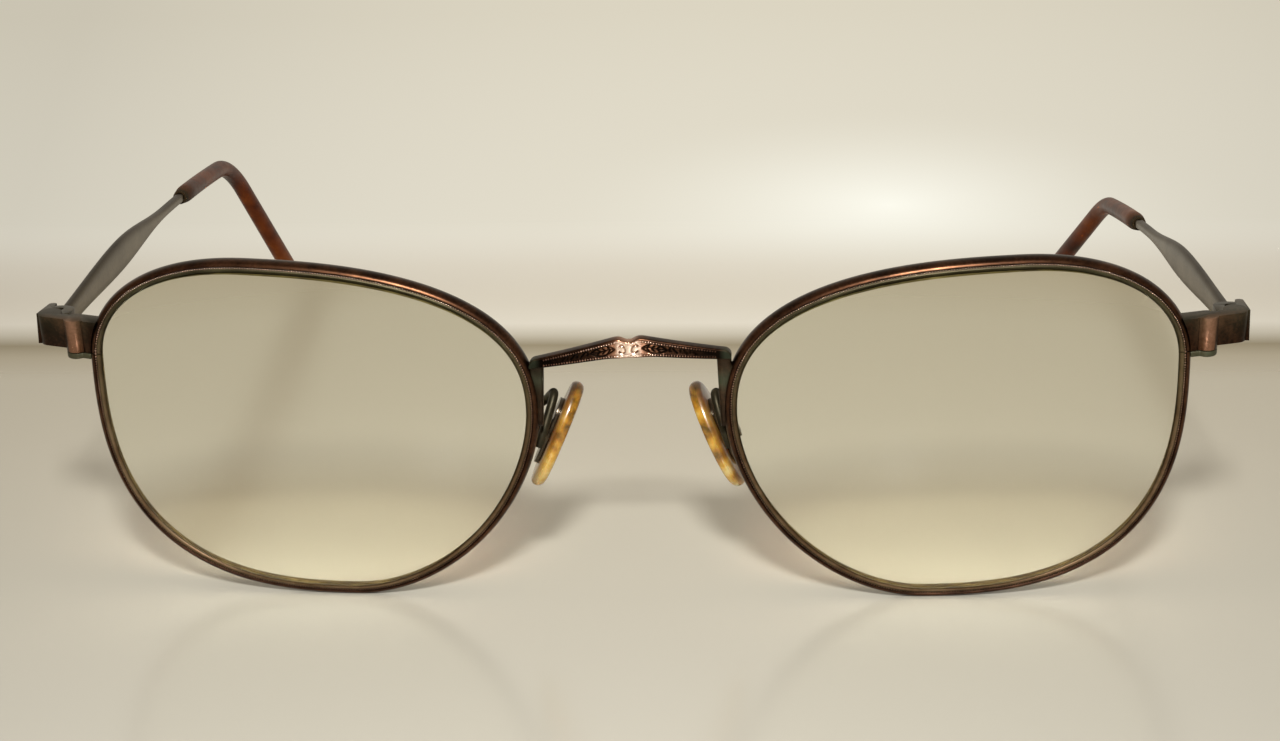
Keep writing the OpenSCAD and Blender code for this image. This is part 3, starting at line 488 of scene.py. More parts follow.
shares = np.linspace(lens["centre"], 1.0, lens["rings"])
bevelRings = [seated(lip + lipNormal * out, rimSag + depth) for out, depth in (
    (-lens["clear"], -lens["bevelHalf"]), (lens["bevelOut"], 0.0), (-lens["clear"], lens["bevelHalf"]))]
lensRings = ([lensFace(share, lensFront, lens["frontR"]) for share in shares] + bevelRings
             + [lensFace(share, lensBack, lens["backR"]) for share in shares[::-1]])
lensPoles = [seated(np.zeros(2), lensFront), seated(np.zeros(2), lensBack)]
points = np.concatenate([np.concatenate(lensRings), np.array(lensPoles)])
count, total = lens["steps"], len(lensRings)
faces = ringFaces(total, count, False)
frontPole, backPole = total * count, total * count + 1
for j in range(count):
    k = (j + 1) % count
    faces += [[frontPole, k, j], [backPole, (total - 1) * count + j, (total - 1) * count + k]]
weight = np.tile(1 - lens["ringFade"] * np.clip(np.sin(np.radians(lensAngles)), 0, 1), total)
fromCentre = np.repeat(np.concatenate([shares, np.ones(len(bevelRings)), shares[::-1]]), count)
# The bevel is ground, with the narrow land on each side of it
groundFrom = (lens["rings"] - 1) * count
groundTo = groundFrom + (len(bevelRings) + 2) * count
for side in sides:
    piece = makeMesh(side + "Lens", placed(leaned(points), side), faces, lensClear, sharpAngle=lens["sharpAngle"])
    giveValues(piece.data, "edge", np.append(fromCentre * weight, [0, 0]))
    piece.data.materials.append(lensEdge)
    for face in piece.data.polygons:
        face.material_index = int(all(groundFrom <= i < groundTo for i in face.vertices))
    addPiece(piece, "front", "lens_glass", side + "_lens")
print("lenses ready")

# Bridge: a flat strip with beaded edges and cut scrolls, its ends turned down along the rims
bridge = dict(thick=1.2, top=9.5, endHeight=1.05, rise=2.75, underRise=1.55, tilt=3.0, notchDepth=0.7,
              notchWidth=1.6, swell=0.3, swellShare=2.2, bow=1.0, overRim=0.75, steps=520, rows=46, backRows=7,
              edgeBreak=0.2, cornerR=0.7, cutDepth=0.09, cutWidth=0.09, channel=0.05, channelIn=0.42,
              channelEdge=0.1, channelEnd=1.2, channelFade=0.5, film=0.55, filmEnd=1.3, filmOver=1.2,
              beadInset=0.3, beadPitch=0.29, beadSize=0.115, beadEnd=1.7, beadSteps=600, beadWear=1.1,
              beadFade=0.12, beadLeast=0.1, sharpAngle=60)
# The strip is rubbed most in the middle and on the leaves, and least in the cuts, at its ends and borders
rubbed = dict(plain=0.26, middle=1.1, middleBack=0.5, middleOver=1.5, leaf=0.3, leafAt=2.6, leafOver=1.1, cut=7.0,
              end=0.3, endFrom=5, endOver=4, border=0.3, borderIn=0.5, borderOver=0.15, borderFrom=1.4)
span = lensX - front["width"] / 2 - pad["rimWall"] + bridge["overRim"]
noseLip = np.array([[-(front["width"] / 2 + pad["rimWall"]), front["noseRise"]]])
bridgeDepth = seated(noseLip, sag(front["meniscus"], np.array([front["width"] / 2, front["noseRise"]])))[0, 1]


def hump(x, width):
    return np.exp(-(2 * x / width) ** 2)


def bridgeEdges(x):
    lift = 1 - np.abs(x) / span
    rise = x * math.tan(math.radians(bridge["tilt"]))
    high = bridge["top"] + bridge["rise"] * lift - bridge["notchDepth"] * hump(x, bridge["notchWidth"])
    low = (bridge["top"] - bridge["endHeight"] + bridge["underRise"] * lift
           - bridge["swell"] * hump(x, bridge["notchWidth"] * bridge["swellShare"]))
    corner = np.clip(np.abs(x) - (span - bridge["cornerR"]), 0, bridge["cornerR"])
    # Just under a full quarter circle, so that the corner doesn't end in a vertical step
    high = high - bridge["cornerR"] + np.sqrt(bridge["cornerR"] ** 2 - corner ** 2 * 0.98)
    return low + rise, high + rise


def bridgeMiddle(x):
    return bridgeDepth - bridge["bow"] * (1 - (x / span) ** 2)


# The cut ornament: back-to-back curls in the middle, a leaf on each side, small scrolls further out.
# Lines are drawn wider than a graver's, so that they show from a step away
curl = dict(turn=2.1, at=0.8, radius=0.46, draw=0.14, tall=1.1)
leaf = dict(at=1.5, length=2.6, half=0.52, blunt=0.8, veinAt=1.7, veinLength=2.1, wave=0.06, ribs=3, ribAt=1.95,
            ribPitch=0.55, ribLength=0.3, ribRise=0.34, ribFade=0.12, ribSet=0.02)
scroll = dict(places=((4.6, 0.34), (5.75, 0.28), (6.8, 0.22)), turn=4.4, draw=0.14, tail=0.3, tailDrop=0.25)


def ornamentLines():
    lines = []

    def draw(x, height):
        lines.append(np.stack([s * x, height], -1))

    t = np.linspace(0, 1, 40)
    for s in (-1, 1):
        turn = np.linspace(-curl["turn"], curl["turn"], 40)
        radius = curl["radius"] - curl["draw"] * (np.abs(turn) / curl["turn"]) ** 2
        draw(curl["at"] - radius * np.cos(turn), radius * curl["tall"] * np.sin(turn))
        draw(leaf["veinAt"] + leaf["veinLength"] * t, leaf["wave"] * np.sin(2 * np.pi * t))
        for way in (-1, 1):
            draw(leaf["at"] + leaf["length"] * t, way * leaf["half"] * np.sin(np.pi * t) ** leaf["blunt"])
            for k in range(leaf["ribs"]):
                draw(leaf["ribAt"] + leaf["ribPitch"] * k + leaf["ribLength"] * t,
                     way * leaf["ribRise"] * t * (1 - leaf["ribFade"] * k) + leaf["ribSet"])
        for x, r in scroll["places"]:
            turn = np.linspace(0, scroll["turn"], 30)
            radius = r * (1 - scroll["draw"] * turn)
            draw(x + radius * np.cos(turn), radius * np.sin(turn))
            draw(x + r + scroll["tail"] * t, -scroll["tailDrop"] * t ** 2)
    return np.concatenate(lines)


ornament = ornamentLines()


def cutAt(x, height):
    near = np.full(x.shape, 1e9)
    for px, py in ornament:
        near = np.minimum(near, (x - px) ** 2 + (height - py) ** 2)
    return bridge["cutDepth"] * np.exp(-near / bridge["cutWidth"] ** 2)


def bridgeStrip():
    xs = np.linspace(-span, span, bridge["steps"] + 1)
    low, high = bridgeEdges(xs)
    half, e = bridge["thick"] / 2, bridge["edgeBreak"]
    share = np.linspace(0, 1, bridge["rows"])
    rows = low[:, None] + e + (high - low - 2 * e)[:, None] * share
    across = np.repeat(xs[:, None], len(share), 1)
    away = np.abs(xs[:, None])
    middle = bridgeMiddle(xs)
    cut = cutAt(across, rows - ((low + high) / 2)[:, None])
    # A flat channel between two slightly raised, beaded borders
    border = np.minimum(rows - low[:, None], high[:, None] - rows)
    channel = (bridge["channel"] * np.clip((border - bridge["channelIn"]) / bridge["channelEdge"], 0, 1)
               * np.clip((span - bridge["channelEnd"] - away) / bridge["channelFade"], 0, 1))
    face = np.stack([across, middle[:, None] - half + cut + channel, rows], -1)

    # A line on a rounded edge: behind is -1 on the front face, and above is -1 underneath
    def edgeLine(behind, above, height, turn):
        return np.stack([xs, middle + behind * half - behind * (e * (1 - np.cos(turn))),
                         height - above * e + above * (e * np.sin(turn))], -1)

    arc = np.radians([22.5, 45, 67.5, 90])
    lines = [edgeLine(-1, 1, high, turn) for turn in arc] + [edgeLine(1, 1, high, turn) for turn in arc[::-1]]
    lines += [np.stack([xs, middle + half, high - e - (high - low - 2 * e) * s], -1)
              for s in np.linspace(0, 1, bridge["backRows"])]
    lines += [edgeLine(1, -1, low, turn) for turn in arc] + [edgeLine(-1, -1, low, turn) for turn in arc[::-1]]
    centre = np.exp(-(xs / rubbed["middleOver"]) ** 2)[:, None]
    wear = (rubbed["plain"] + rubbed["middle"] * centre
            + rubbed["leaf"] * np.exp(-((away - rubbed["leafAt"]) / rubbed["leafOver"]) ** 2) - rubbed["cut"] * cut)
    wear -= (rubbed["end"] * np.clip((away - rubbed["endFrom"]) / rubbed["endOver"], 0, 1)
             + rubbed["border"] * np.clip((rubbed["borderIn"] - border) / rubbed["borderOver"], 0, 1)
             * (away > rubbed["borderFrom"]))
    rest = np.repeat(rubbed["plain"] + rubbed["middleBack"] * centre, len(lines), 1)
    return (np.concatenate([face, np.stack(lines, 1)], 1),
            np.concatenate([np.clip(wear, 0, 1), rest], 1))


# A turned-down end: it runs down beside the rim and thins out against it
strut = dict(width=1.6, length=7.5, lean=0.35, above=0.55, onRim=0.2, least=0.25, knee=0.15, under=0.05,
             endThick=0.45, thinning=8, round=0.45, rings=26, sides=24, noseFrom=100, noseTo=262, noseSteps=500,
             wear=0.22, film=0.55, filmAt=6.6, filmOver=1.0, filmLeast=0.12)


def noseEdge(height, inset):
    points, normals = lipCurve(np.linspace(strut["noseFrom"], strut["noseTo"], strut["noseSteps"]))
    out = points + normals * (pad["rimWall"] - inset)
    order = np.argsort(out[:, 1])
    u = np.interp(height, out[order, 1], out[order, 0])
    w = math.radians(front["wrap"])
    return lensX + u * math.cos(w) - bridgeDepth * math.sin(w)


def bridgeStrut(way):
    rise = way * span * math.tan(math.radians(bridge["tilt"]))
    top = bridge["top"] - bridge["endHeight"] + strut["above"] + rise
    bottom = bridge["top"] - bridge["endHeight"] - strut["length"]
    rings = []
    for share in np.linspace(0, 1, strut["rings"]):
        height = top + (bottom - top) * share
        inner = span - strut["width"] + strut["lean"] * share
        outer = max(noseEdge(height, strut["onRim"]), inner + strut["least"])
        outer = min(outer, span) if share < strut["knee"] else outer
        thick = bridge["thick"] / 2 - strut["under"]
        thick *= min(1.0, strut["endThick"] + strut["thinning"] * (1 - share))
        ring = []
        for k in range(strut["sides"]):
            a = 2 * math.pi * (k + 0.5) / strut["sides"]
            c, s = math.cos(a), math.sin(a)
            ring.append([(inner + outer) / 2 + (outer - inner) / 2 * math.copysign(abs(c) ** strut["round"], c),
                         bridgeDepth + thick * math.copysign(abs(s) ** strut["round"], s), height])
        rings.append(ring)
    rings = np.array(rings)
    rings[..., 0] *= way
    return rings


stripRings, stripWear = bridgeStrip()
points, faces, wear = [stripRings.reshape(-1, 3)], ringFaces(*stripRings.shape[:2]), [stripWear.ravel()]
patina = [np.clip((np.abs(stripRings[..., 0]) - (span - bridge["filmEnd"])) / bridge["filmOver"],
                  0, bridge["film"]).ravel()]
stripVolume = signedVolume(points[0], faces)
base = len(points[0])
for way in (-1, 1):
    rings = bridgeStrut(way)
    strutPoints, strutFaces = rings.reshape(-1, 3), ringFaces(*rings.shape[:2])
    # Faces of a strut point the same way as the strip's
    if signedVolume(strutPoints, strutFaces) * stripVolume < 0:
        strutFaces = [face[::-1] for face in strutFaces]
    faces += [[base + i for i in face] for face in strutFaces]
    points.append(strutPoints)
    base += len(strutPoints)
    wear.append(np.full(len(strutPoints), strut["wear"]))
    patina.append((strut["film"] * np.exp(-((rings[..., 2] - strut["filmAt"]) / strut["filmOver"]) ** 2)
                   + strut["filmLeast"]).ravel())
piece = makeMesh("engravedBridge", placed(leaned(np.concatenate(points)), "right"), faces, frameCopper,
                 np.concatenate(wear), np.concatenate(patina), bridge["sharpAngle"])
addPiece(piece, "front", "frame_metal", "bridge")

xs = np.linspace(-span + bridge["beadEnd"], span - bridge["beadEnd"], bridge["beadSteps"])
low, high = bridgeEdges(xs)
depth = bridgeMiddle(xs) - bridge["thick"] / 2
beadLines = [placed(leaned(np.stack([xs, depth, height], -1)), "right")
             for height in (low + bridge["beadInset"], high - bridge["beadInset"])]
makeBeads("bridgeBeads", beadLines, bridge["beadPitch"], bridge["beadSize"], "front",
          lambda spots: np.clip(bridge["beadWear"] - np.abs(spots[:, 0] - middleX) * bridge["beadFade"],
                                bridge["beadLeast"], 1))
print("bridge ready")

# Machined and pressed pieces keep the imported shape, with their edges rounded by tumbling. Each has its
# rounding, and how much its flats and its edges are rubbed
tumbled = dict(merge=0.002, flatAngle=1.5, segments=2, edgeAngle=38, sharpAngle=32)
endpiece = dict(round=0.14, flat=-0.28, edge=0.24, film=0.8, filmAt=27.6, filmOver=0.35, topFilm=0.35,
                topFrom=0.9, barrelIn=2.7, barrelWear=0.44, barrelOver=1.0, barrelFace=1.2)
closingBlock = dict(round=0.1, flat=0.15, edge=0.35, film=0.85)
hingeEye = dict(round=0.08, flat=0.3, edge=0.6)
padBox = dict(round=0.08, flat=0.3, edge=0.7)
padPlate = dict(round=0.1, flat=0.3, edge=0.7)


def softenedCopy(node, body, slot, material, look, patinaAt=None, wearAndLightAt=None):
    name = "".join(word if i == 0 else word.capitalize() for i, word in enumerate(node.split("_")))
    mesh = frame["nodes"][node].data.copy()
    work = bmesh.new()
    work.from_mesh(mesh)
    bmesh.ops.remove_doubles(work, verts=work.verts, dist=tumbled["merge"] * mm)
    bmesh.ops.dissolve_limit(work, angle_limit=math.radians(tumbled["flatAngle"]), verts=work.verts,
                             edges=work.edges)
    work.to_mesh(mesh)
    work.free()
    # The second slot only marks the faces that the bevel makes
    mesh.materials.clear()
    for _ in range(2):
        mesh.materials.append(material)
    piece = showObject(name, mesh)
    bevel = piece.modifiers.new("round", "BEVEL")
    bevel.width, bevel.segments, bevel.limit_method = look["round"] * mm, tumbled["segments"], "ANGLE"
    bevel.angle_limit, bevel.material = math.radians(tumbled["edgeAngle"]), 1
    finished = applied(piece, bevel)
    wear = np.full(len(finished.vertices), look["flat"])
    for face in finished.polygons:
        if face.material_index == 1:
            wear[list(face.vertices)] = look["edge"]
            face.material_index = 0
    places = np.array([v.co for v in finished.vertices]) / mm
    giveValues(finished, "wear", wear + (wearAndLightAt(places) if wearAndLightAt else 0))
    giveValues(finished, "patina", patinaAt(places) if patinaAt else np.zeros(len(places)))
    finished.materials.clear()
    finished.materials.append(material)
    finished.shade_smooth()
    finished.set_sharp_from_angle(angle=math.radians(tumbled["sharpAngle"]))
    addPiece(piece, body, slot, node)


# Only the front of the screw barrel is rubbed bright
def endpieceWear(p):
    return (endpiece["barrelWear"] * np.exp(-((p[:, 0] - barrel) / endpiece["barrelOver"]) ** 2)
            * (p[:, 1] < p[:, 1].min() + endpiece["barrelFace"]))


def endpieceFilm(p):
    return (endpiece["film"] * np.exp(-((p[:, 2] - endpiece["filmAt"]) / endpiece["filmOver"]) ** 2)
            + endpiece["topFilm"] * (p[:, 2] > p[:, 2].max() - endpiece["topFrom"]))


for side in sides:
    barrel = middleX + sides[side] * (abs(jointAt(side + "_temple_hinge")[0] - middleX) - endpiece["barrelIn"])
    softenedCopy(side + "_endpiece", "front", "frame_metal", frameCopper, endpiece, endpieceFilm, endpieceWear)
    softenedCopy(side + "_closing_block", "front", "frame_metal", frameCopper, closingBlock,
                 lambda p: np.full(len(p), closingBlock["film"]))
    softenedCopy(side + "_hinge_eye", side + "_temple_arm", "temple_metal", templeMetal, hingeEye)
    softenedCopy(side + "_pad_box", "front", "fittings_steel", darkSteel, padBox)
    softenedCopy(side + "_pad_plate", side + "_pad", "fittings_steel", darkSteel, padPlate)
print("endpieces, hinges and boxes ready")

# Temples and tips follow one line: a slight bow, the ear bend, then straight down to the table. Left and
# right give each one's rise, splay and ear bend in degrees
temple = dict(neck=2.05, bendReach=91.5, paddleHeight=4.0, paddleAt=27.0, paddleTaper=27.0, rootHeight=2.6,
              thick=1.2, wire=1.2, bendR=16.5, bow=7.0, curve=0.7, tipTurn=14.0, sides=28, square=2.9,
              runSteps=141, bendSteps=41, endSteps=61, wear=0.5, edgeShade=0.4,
              left=(4.2, 2.5, 43.0), right=(0.2, -1.3, 28.0))
tip = dict(reach=65.0, mouth=1.9, body=2.4, endHeight=3.4, endThick=2.6, rounding=1.7, core=44.0, mouthLength=4.0,
           bore=0.66, boreDepth=1.5, lipIn=0.16, lipRound=0.03, sides=32, square=2, endTurn=88, endSteps=12,
           stain=0.95, stainLength=6.0, stainMost=0.85)
bendFrom = temple["bendReach"] - temple["neck"]
tipFrom = tip["reach"] - temple["neck"]


def aim(slope, out):
    slope, out = np.radians(slope), np.radians(out)
    return np.stack([np.sin(out) * np.cos(slope), np.cos(out) * np.cos(slope), np.sin(slope)], -1)


def ease(t):
    return (1 - np.cos(np.pi * np.clip(t, 0, 1))) / 2


# Points, aims and distances along a temple, in the right-hand sense
def templeLine(side):
    tilt, splay, bend = temple[side]
    hinge = jointAt(side + "_temple_hinge")
    start = np.array([abs(hinge[0] - middleX), hinge[1] + temple["neck"], hinge[2]])
    bendLength = temple["bendR"] * math.radians(bend)
    slope = temple["bow"] + bend - tilt
    endHeight = math.hypot(tip["rounding"] * math.sin(math.radians(slope)),
                           tip["endHeight"] / 2 * math.cos(math.radians(slope)))
    run = np.linspace(0, bendFrom, temple["runSteps"])
    arc = bendFrom + np.linspace(0, bendLength, temple["bendSteps"])[1:]
    stations = np.concatenate([run, arc])

    def aims(s):
        a, k = np.clip(s / bendFrom, 0, 1), np.clip((s - bendFrom) / bendLength, 0, 1)
        return aim(tilt - temple["bow"] * a - bend * k, splay - temple["curve"] * a - temple["tipTurn"] * k)

    steps = np.diff(stations)
    moves = aims((stations[1:] + stations[:-1]) / 2) * steps[:, None]
    line = start + np.concatenate([np.zeros((1, 3)), np.cumsum(moves, axis=0)])
    far = aims(np.array([bendFrom + bendLength]))[0]
    drop = (line[-1][2] - endHeight) / -far[2]
    extra = np.linspace(0, drop, temple["endSteps"])[1:]
    line = np.concatenate([line, line[-1] + far * extra[:, None]])
    ways = np.concatenate([aims(stations), np.tile(far, (len(extra), 1))])
    return line, ways, np.concatenate([stations, bendFrom + bendLength + extra])


def ovalRings(line, aims, thick, high, count, square):
    flat = np.linalg.norm(aims[:, :2], axis=1, keepdims=True)
    across = np.stack([aims[:, 1], -aims[:, 0], np.zeros(len(aims))], -1) / flat
    up = np.cross(across, aims)
    a = 2 * np.pi * (np.arange(count) + 0.5) / count
    c, s = np.cos(a), np.sin(a)
    x, y = np.sign(c) * np.abs(c) ** (2 / square), np.sign(s) * np.abs(s) ** (2 / square)
    return (line[:, None, :] + across[:, None, :] * (thick[:, None] * x)[..., None]
            + up[:, None, :] * (high[:, None] * y)[..., None])


def unmirrored(points, side):
    points = np.array(points)
    points[..., 0] = middleX + sides[side] * points[..., 0]
    return points


# Half the size of a sleeve: it swells from its mouth, then grows evenly to its end
def sleeveHalf(s, end):
    t = s - tipFrom
    return np.where(t < tip["mouthLength"],
                    tip["mouth"] / 2 + (tip["body"] - tip["mouth"]) / 2 * ease(t / tip["mouthLength"]),
                    tip["body"] / 2 + (end - tip["body"]) / 2 * ease((s - bendFrom) / bendFrom))


for side in sides:
    line, aims, s = templeLine(side)
    core = s <= tipFrom + tip["core"]
    narrowed = ease((s - temple["paddleAt"]) / temple["paddleTaper"])
    high = np.where(s < temple["paddleAt"],
                    temple["rootHeight"] / 2 + (temple["paddleHeight"] - temple["rootHeight"]) / 2
                    * ease(s / temple["paddleAt"]),
                    temple["paddleHeight"] / 2 - (temple["paddleHeight"] - temple["wire"]) / 2 * narrowed)
    thick = temple["thick"] / 2 + (temple["wire"] - temple["thick"]) / 2 * narrowed
    bladeAims = aims[core].copy()
    bladeAims[0] = (0, 1, 0)  # the root is cut square to the hinge eye
    rings = ovalRings(line[core], bladeAims, thick[core], high[core], temple["sides"], temple["square"])
    turned = 2 * np.pi * (np.arange(temple["sides"]) + 0.5) / temple["sides"]
    # Evenly rubbed, with the top and bottom edges painted darker: painted shade along both edges
    wear = np.tile(temple["wear"] - temple["edgeShade"] * np.abs(np.sin(turned)) ** 2, core.sum())
    piece = makeSkin(side + "TempleBlade", unmirrored(rings, side), templeMetal, wear)
    addPiece(piece, side + "_temple_arm", "temple_metal", side + "_temple")

    sleeve = s >= tipFrom - 0.01
    t = s[sleeve] - tipFrom
    thick, high = [sleeveHalf(s[sleeve], tip[end]) for end in ("endThick", "endHeight")]
    outer = ovalRings(line[sleeve], aims[sleeve], thick, high, tip["sides"], tip["square"])
    lastPoint, lastAim = line[-1], aims[-1]
    turns = np.radians(np.linspace(0, tip["endTurn"], tip["endSteps"])[1:])
    endLine = lastPoint + lastAim * (tip["rounding"] * np.sin(turns))[:, None]
    ending = ovalRings(endLine, np.tile(lastAim, (len(turns), 1)), thick[-1] * np.cos(turns),
                       high[-1] * np.cos(turns), tip["sides"], tip["square"])
    lipPlaces = np.array([[tip["boreDepth"]], [0.0], [-tip["lipRound"]], [tip["lipRound"]]])
    lipSizes = np.array([tip["bore"], tip["bore"], tip["mouth"] / 2 - tip["lipIn"],
                         tip["mouth"] / 2 - tip["lipRound"]])
    mouth = ovalRings(line[sleeve][:1] + aims[sleeve][:1] * lipPlaces, np.tile(aims[sleeve][:1], (4, 1)),
                      lipSizes, lipSizes, tip["sides"], tip["square"])
    rings = np.concatenate([mouth, outer[1:], ending])
    travelled = np.concatenate([np.zeros(len(mouth) + 1), t[2:], np.full(len(turns), t[-1])])
    stain = np.repeat(np.clip(tip["stain"] - travelled / tip["stainLength"], 0, tip["stainMost"]), tip["sides"])
    piece = makeSkin(side + "TempleTip", unmirrored(rings, side), tipAcetate, patina=stain)
    addPiece(piece, side + "_temple_arm", "tip_plastic", side + "_temple_tip")
print("temples and tips ready")

# Nose pads: a rounded lozenge, its edge drawn in towards both faces. Sections give the place through the
# thickness, how far the edge is drawn in, and the brown stain, which grows towards the plate
padSections = [(-0.53, 2.6, 0.05), (-0.52, 1.9, 0.05), (-0.5, 1.3, 0.05), (-0.48, 0.9, 0.05), (-0.44, 0.58, 0.05),
               (-0.37, 0.33, 0.05), (-0.26, 0.15, 0.05), (-0.1, 0.04, 0.05), (0.05, 0.0, 0.05), (0.2, 0.05, 0.3),
               (0.32, 0.13, 0.5), (0.42, 0.27, 0.7), (0.48, 0.42, 0.7), (0.5, 0.56, 0.7)]
angles = 2 * np.pi * np.arange(pad["steps"]) / pad["steps"]
padRings = np.array([np.stack([
    np.full(pad["steps"], place * pad["thick"]),
    (pad["width"] / 2 - draw) * np.cos(angles) * (1 - pad["egg"] * np.sin(angles)),
    (pad["length"] / 2 - draw) * np.sin(angles)], -1) for place, draw, _ in padSections])
padStain = np.repeat([stain for _, _, stain in padSections], pad["steps"])
# The pad arms are looped wires, from a foot brazed behind the rim to the floor of the pad box
arm = dict(radius=0.5, footOut=0.7, footHeight=-2.4, footDepth=1.0, rise=(-0.75, 0.35, 2.2), loopBack=2.0,
           loopShare=0.42, loopIn=0.5, braze=0.12, floorRise=0.4, floorSet=0.85, boxLength=2.2, boxAbove=0.9,
           boxPlay=0.1, steps=12, sides=16, notAlong=(0.35, 1, 0.1), wear=0.2, film=0.35)


def curveThrough(points, steps):
    padded = [points[0]] + list(points) + [points[-1]]
    out = []
    for a, b, c, d in zip(padded, padded[1:], padded[2:], padded[3:]):
        for t in np.arange(steps) / steps:
            out.append(0.5 * (2 * b + (c - a) * t + (2 * a - 5 * b + 4 * c - d) * t * t
                              + (3 * b - a - 3 * c + d) * t ** 3))
    return np.array(out + [points[-1]])


def tubeRings(line, radius, count):
    ways = np.gradient(line, axis=0)
    ways /= np.linalg.norm(ways, axis=1, keepdims=True)
    across = np.cross(ways, arm["notAlong"])
    across /= np.linalg.norm(across, axis=1, keepdims=True)
    up = np.cross(across, ways)
    a = 2 * np.pi * np.arange(count) / count
    return (line[:, None, :] + across[:, None, :] * (radius * np.cos(a))[None, :, None]
            + up[:, None, :] * (radius * np.sin(a))[None, :, None])


floorX = padScrewX + arm["floorSet"]
foot = leaned(seated(np.array([-(front["width"] / 2 + arm["footOut"]), arm["footHeight"]]),
                     sag(front["meniscus"], np.array([front["width"] / 2, arm["footHeight"]]))
                     + arm["footDepth"] + arm["radius"] - arm["braze"]))
bends = [foot, foot + arm["rise"],
         np.array([padMiddle[0], foot[1] + arm["loopBack"], padMiddle[2] + pad["length"] * arm["loopShare"]]),
         padPoints([floorX - arm["loopIn"], -arm["loopIn"], arm["boxLength"] / 2 + arm["rise"][2]]),
         padPoints([floorX + arm["boxPlay"], 0, arm["boxLength"] / 2 + arm["boxAbove"]]),
         padPoints([floorX + arm["floorRise"] - arm["radius"] - arm["boxPlay"], 0,
                    arm["boxLength"] / 2 - arm["braze"]])]
armRings = tubeRings(curveThrough(bends, arm["steps"]), arm["radius"], arm["sides"])
for side in sides:
    piece = makeSkin(side + "NosePad", placed(padPoints(padRings), side), padAcetate,
                     padRings[..., 2] / pad["length"] + 0.5, padStain)
    addPiece(piece, side + "_pad", "pad_plastic", side + "_nose_pad")
    piece = makeSkin(side + "PadArm", placed(armRings, side), frameCopper,
                     np.full(armRings.shape[:2], arm["wear"]), np.full(armRings.shape[:2], arm["film"]))
    addPiece(piece, "front", "frame_metal", side + "_pad_arm")
print("pads and arms ready")

for node in frame["nodes"].values():
    if not node.hide_render:
        node.data.materials.clear()
        node.data.materials.append(darkSteel)
print("screws take their finish")


# Polished table top with a painted soft dark line of shade at its back edge, and the pale surface beyond it, which
# shows its own colour to the eye and in glass and metal. Its colours carry painted light and shade. Stops are
# distances from front to back, in metres
def paleSurface(name, look):
    material, tree = newMaterial(name)
    place = addNode(tree, "ShaderNodeTexCoord")["Object"]
    x, y = addNode(tree, "ShaderNodeSeparateXYZ", {0: place})[:2]
    start, end = look["stops"][0][0], look["stops"][-1][0]
    along = addNode(tree, "ShaderNodeMapRange", {0: y, 1: start, 2: end, 3: 0.0, 4: 1.0})[0]
    colour = addNode(tree, "ShaderNodeValToRGB", {"Fac": along}, [
        ((distance - start) / (end - start), code) for distance, code in look["stops"]])["Color"]
    # A painted pool of light on the far part
    glow = addNode(tree, "ShaderNodeMapping", {0: place, "Location": look["paintedGlowAt"], "Scale": look["paintedGlowSize"]},
                   vector_type="TEXTURE")[0]
    soft = addNode(tree, "ShaderNodeTexGradient", {0: glow}, gradient_type="QUADRATIC_SPHERE")["Fac"]
    colour = addNode(tree, "ShaderNodeMix", {0: soft, 6: colour, 7: srgb(look["glow"])}, data_type="RGBA")[2]
    # Painted shade: darker towards the sides, over a strip that widens towards the back
    halfWidth = addNode(tree, "ShaderNodeMath", {0: y, 1: look["widening"], 2: look["halfWidth"]},
                        operation="MULTIPLY_ADD")[0]
    halfWidth = addNode(tree, "ShaderNodeMath", {0: halfWidth, 1: look["narrowest"]}, operation="MAXIMUM")[0]
    aside = addNode(tree, "ShaderNodeMath", {0: x}, operation="ABSOLUTE")[0]
    aside = addNode(tree, "ShaderNodeMath", {0: aside, 1: halfWidth}, operation="DIVIDE", use_clamp=True)[0]
    level = addNode(tree, "ShaderNodeMath", {0: aside, 1: 2.0}, operation="POWER")[0]
    level = addNode(tree, "ShaderNodeMath", {0: level, 1: -look["vignette"], 2: 1.0},
                    operation="MULTIPLY_ADD")[0]
    colour = addNode(tree, "ShaderNodeHueSaturation", {"Color": colour, "Value": level})[0]
    rough = addNode(tree, "ShaderNodeMapRange", {0: y, 1: look["dullFrom"], 2: look["dullTo"],
                                                 3: look["roughness"], 4: look["dull"]})[0]
    lit = addNode(tree, "ShaderNodeBsdfPrincipled", {"Base Color": colour, "Roughness": rough,
                                                     "Specular IOR Level": look["gloss"]})[0]
    plain = addNode(tree, "ShaderNodeEmission", {"Color": colour})[0]
    far = addNode(tree, "ShaderNodeMapRange", {0: y, 1: look["farFrom"], 2: look["farTo"]},
                  interpolation_type="SMOOTHSTEP")[0]
    # The eye, and what glass and metal show it
    paths = addNode(tree, "ShaderNodeLightPath")
    seen = paths["Is Camera Ray"]
    for other in ("Is Glossy Ray", "Is Transmission Ray"):
        seen = addNode(tree, "ShaderNodeMath", {0: seen, 1: paths[other]}, operation="MAXIMUM")[0]
    far = addNode(tree, "ShaderNodeMath", {0: far, 1: seen}, operation="MULTIPLY")[0]
    mix = addNode(tree, "ShaderNodeMixShader", {0: far, 1: lit, 2: plain})
    addNode(tree, "ShaderNodeOutputMaterial", {"Surface": mix[0]})
    return material


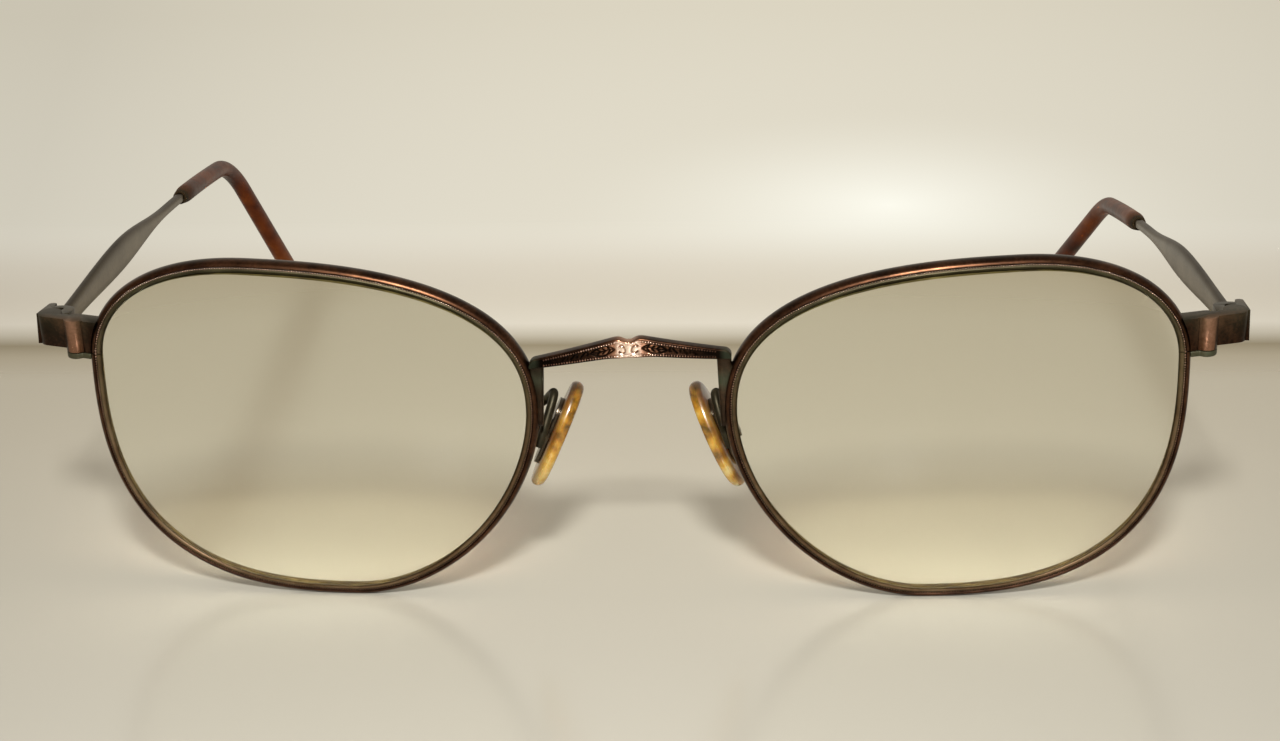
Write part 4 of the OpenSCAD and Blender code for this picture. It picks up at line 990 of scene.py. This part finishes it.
tableLook = dict(
    halfSize=1.6, roughness=0.2, dull=0.6, dullFrom=0.03, dullTo=0.06, gloss=0.5, farFrom=0.075, farTo=0.15,
    # Painted shade towards the sides
    halfWidth=0.10, widening=0.25, narrowest=0.075, vignette=0.17,
    # A painted pool of light towards the back
    glow="#fffdf0", paintedGlowAt=(0.036, 0.165, 0.0), paintedGlowSize=(0.075, 0.13, 0.06), stops=[
        # Painted light: the stops brighten from the front towards the back, and those from 0.045 to 0.0585 paint a
        # line of shade at the table's back edge
        (-0.12, "#c0beb5"), (-0.06, "#c4c1b5"), (-0.01, "#c8c3b4"), (0.03, "#c8c2b0"), (0.045, "#bdb49d"),
        (0.052, "#a1967b"), (0.0585, "#dcd8ca"), (0.066, "#fffdf4"), (0.11, "#efe9da"), (0.15, "#e3ddcc"),
        (0.5, "#dcd5c2")])
mesh = bpy.data.meshes.new("tableTop")
mesh.from_pydata([(x * tableLook["halfSize"], y * tableLook["halfSize"], 0.0)
                  for x, y in ((-1, -1), (1, -1), (1, 1), (-1, 1))], [], [[0, 1, 2, 3]])
mesh.materials.append(paleSurface("polishedTable", tableLook))
table = showObject("tableTop", mesh)

# One soft neutral lamp over the camera, where the photograph's shadows place it, and a warm pale room,
# brighter at the back, where the photograph has a wall
light = dict(place=(0.028, -0.42, 0.27), size=0.05, watts=2.45, colour=(1.0, 0.98, 0.94),
             room=[(0.0, "#948a7c"), (0.3, "#b8af9f"), (1.0, "#d8d0c0")], horizon="#d8d2c2")
lamp = bpy.data.lights.new("softLamp", "AREA")
lamp.size, lamp.energy, lamp.color = light["size"], light["watts"], light["colour"]
lampObject = showObject("softLamp", lamp)
lampObject.location = light["place"]
lampObject.rotation_euler = (-Vector(light["place"])).to_track_quat("-Z", "Y").to_euler()
world = bpy.data.worlds.new("paleRoom")
world.use_nodes = True
tree = world.node_tree
direction = addNode(tree, "ShaderNodeTexCoord")["Generated"]
backwards = addNode(tree, "ShaderNodeSeparateXYZ", {0: direction})[1]
roomColour = addNode(tree, "ShaderNodeValToRGB", {"Fac": backwards}, light["room"])["Color"]
onlyEye = addNode(tree, "ShaderNodeLightPath")["Is Camera Ray"]
sky = addNode(tree, "ShaderNodeMix", {0: onlyEye, 6: roomColour, 7: srgb(light["horizon"])}, data_type="RGBA")
tree.links.new(sky[2], tree.nodes["Background"].inputs["Color"])
bpy.context.scene.world = world
bpy.context.scene.view_settings.view_transform = "Standard"

# Camera at the place worked out from the photograph
view = dict(focalShare=2500 / 1280, sensor=36, nearest=0.01, distance=271.0, target=(1.06, 0.0, 27.33),
            pitch=14.79, yaw=-4.30, roll=-1.18)
pitch, yaw, roll = (math.radians(view[key]) for key in ("pitch", "yaw", "roll"))
forward = Vector((math.sin(yaw) * math.cos(pitch), math.cos(yaw) * math.cos(pitch), -math.sin(pitch)))
level = Vector((math.cos(yaw), -math.sin(yaw), 0))
upright = level.cross(forward)
right = math.cos(roll) * level + math.sin(roll) * upright
above = -math.sin(roll) * level + math.cos(roll) * upright
camera = bpy.data.cameras.new("photoCamera")
camera.sensor_width, camera.lens = view["sensor"], view["sensor"] * view["focalShare"]
camera.clip_start = view["nearest"]
cameraObject = showObject("photoCamera", camera)
middle = Vector((middleX, shift[1], 0))
place = (Vector(view["target"]) + middle - forward * view["distance"]) * mm
cameraObject.matrix_world = Matrix.Translation(place) @ Matrix((right, above, -forward)).transposed().to_4x4()
bpy.context.scene.camera = cameraObject
print("table, light and camera ready")
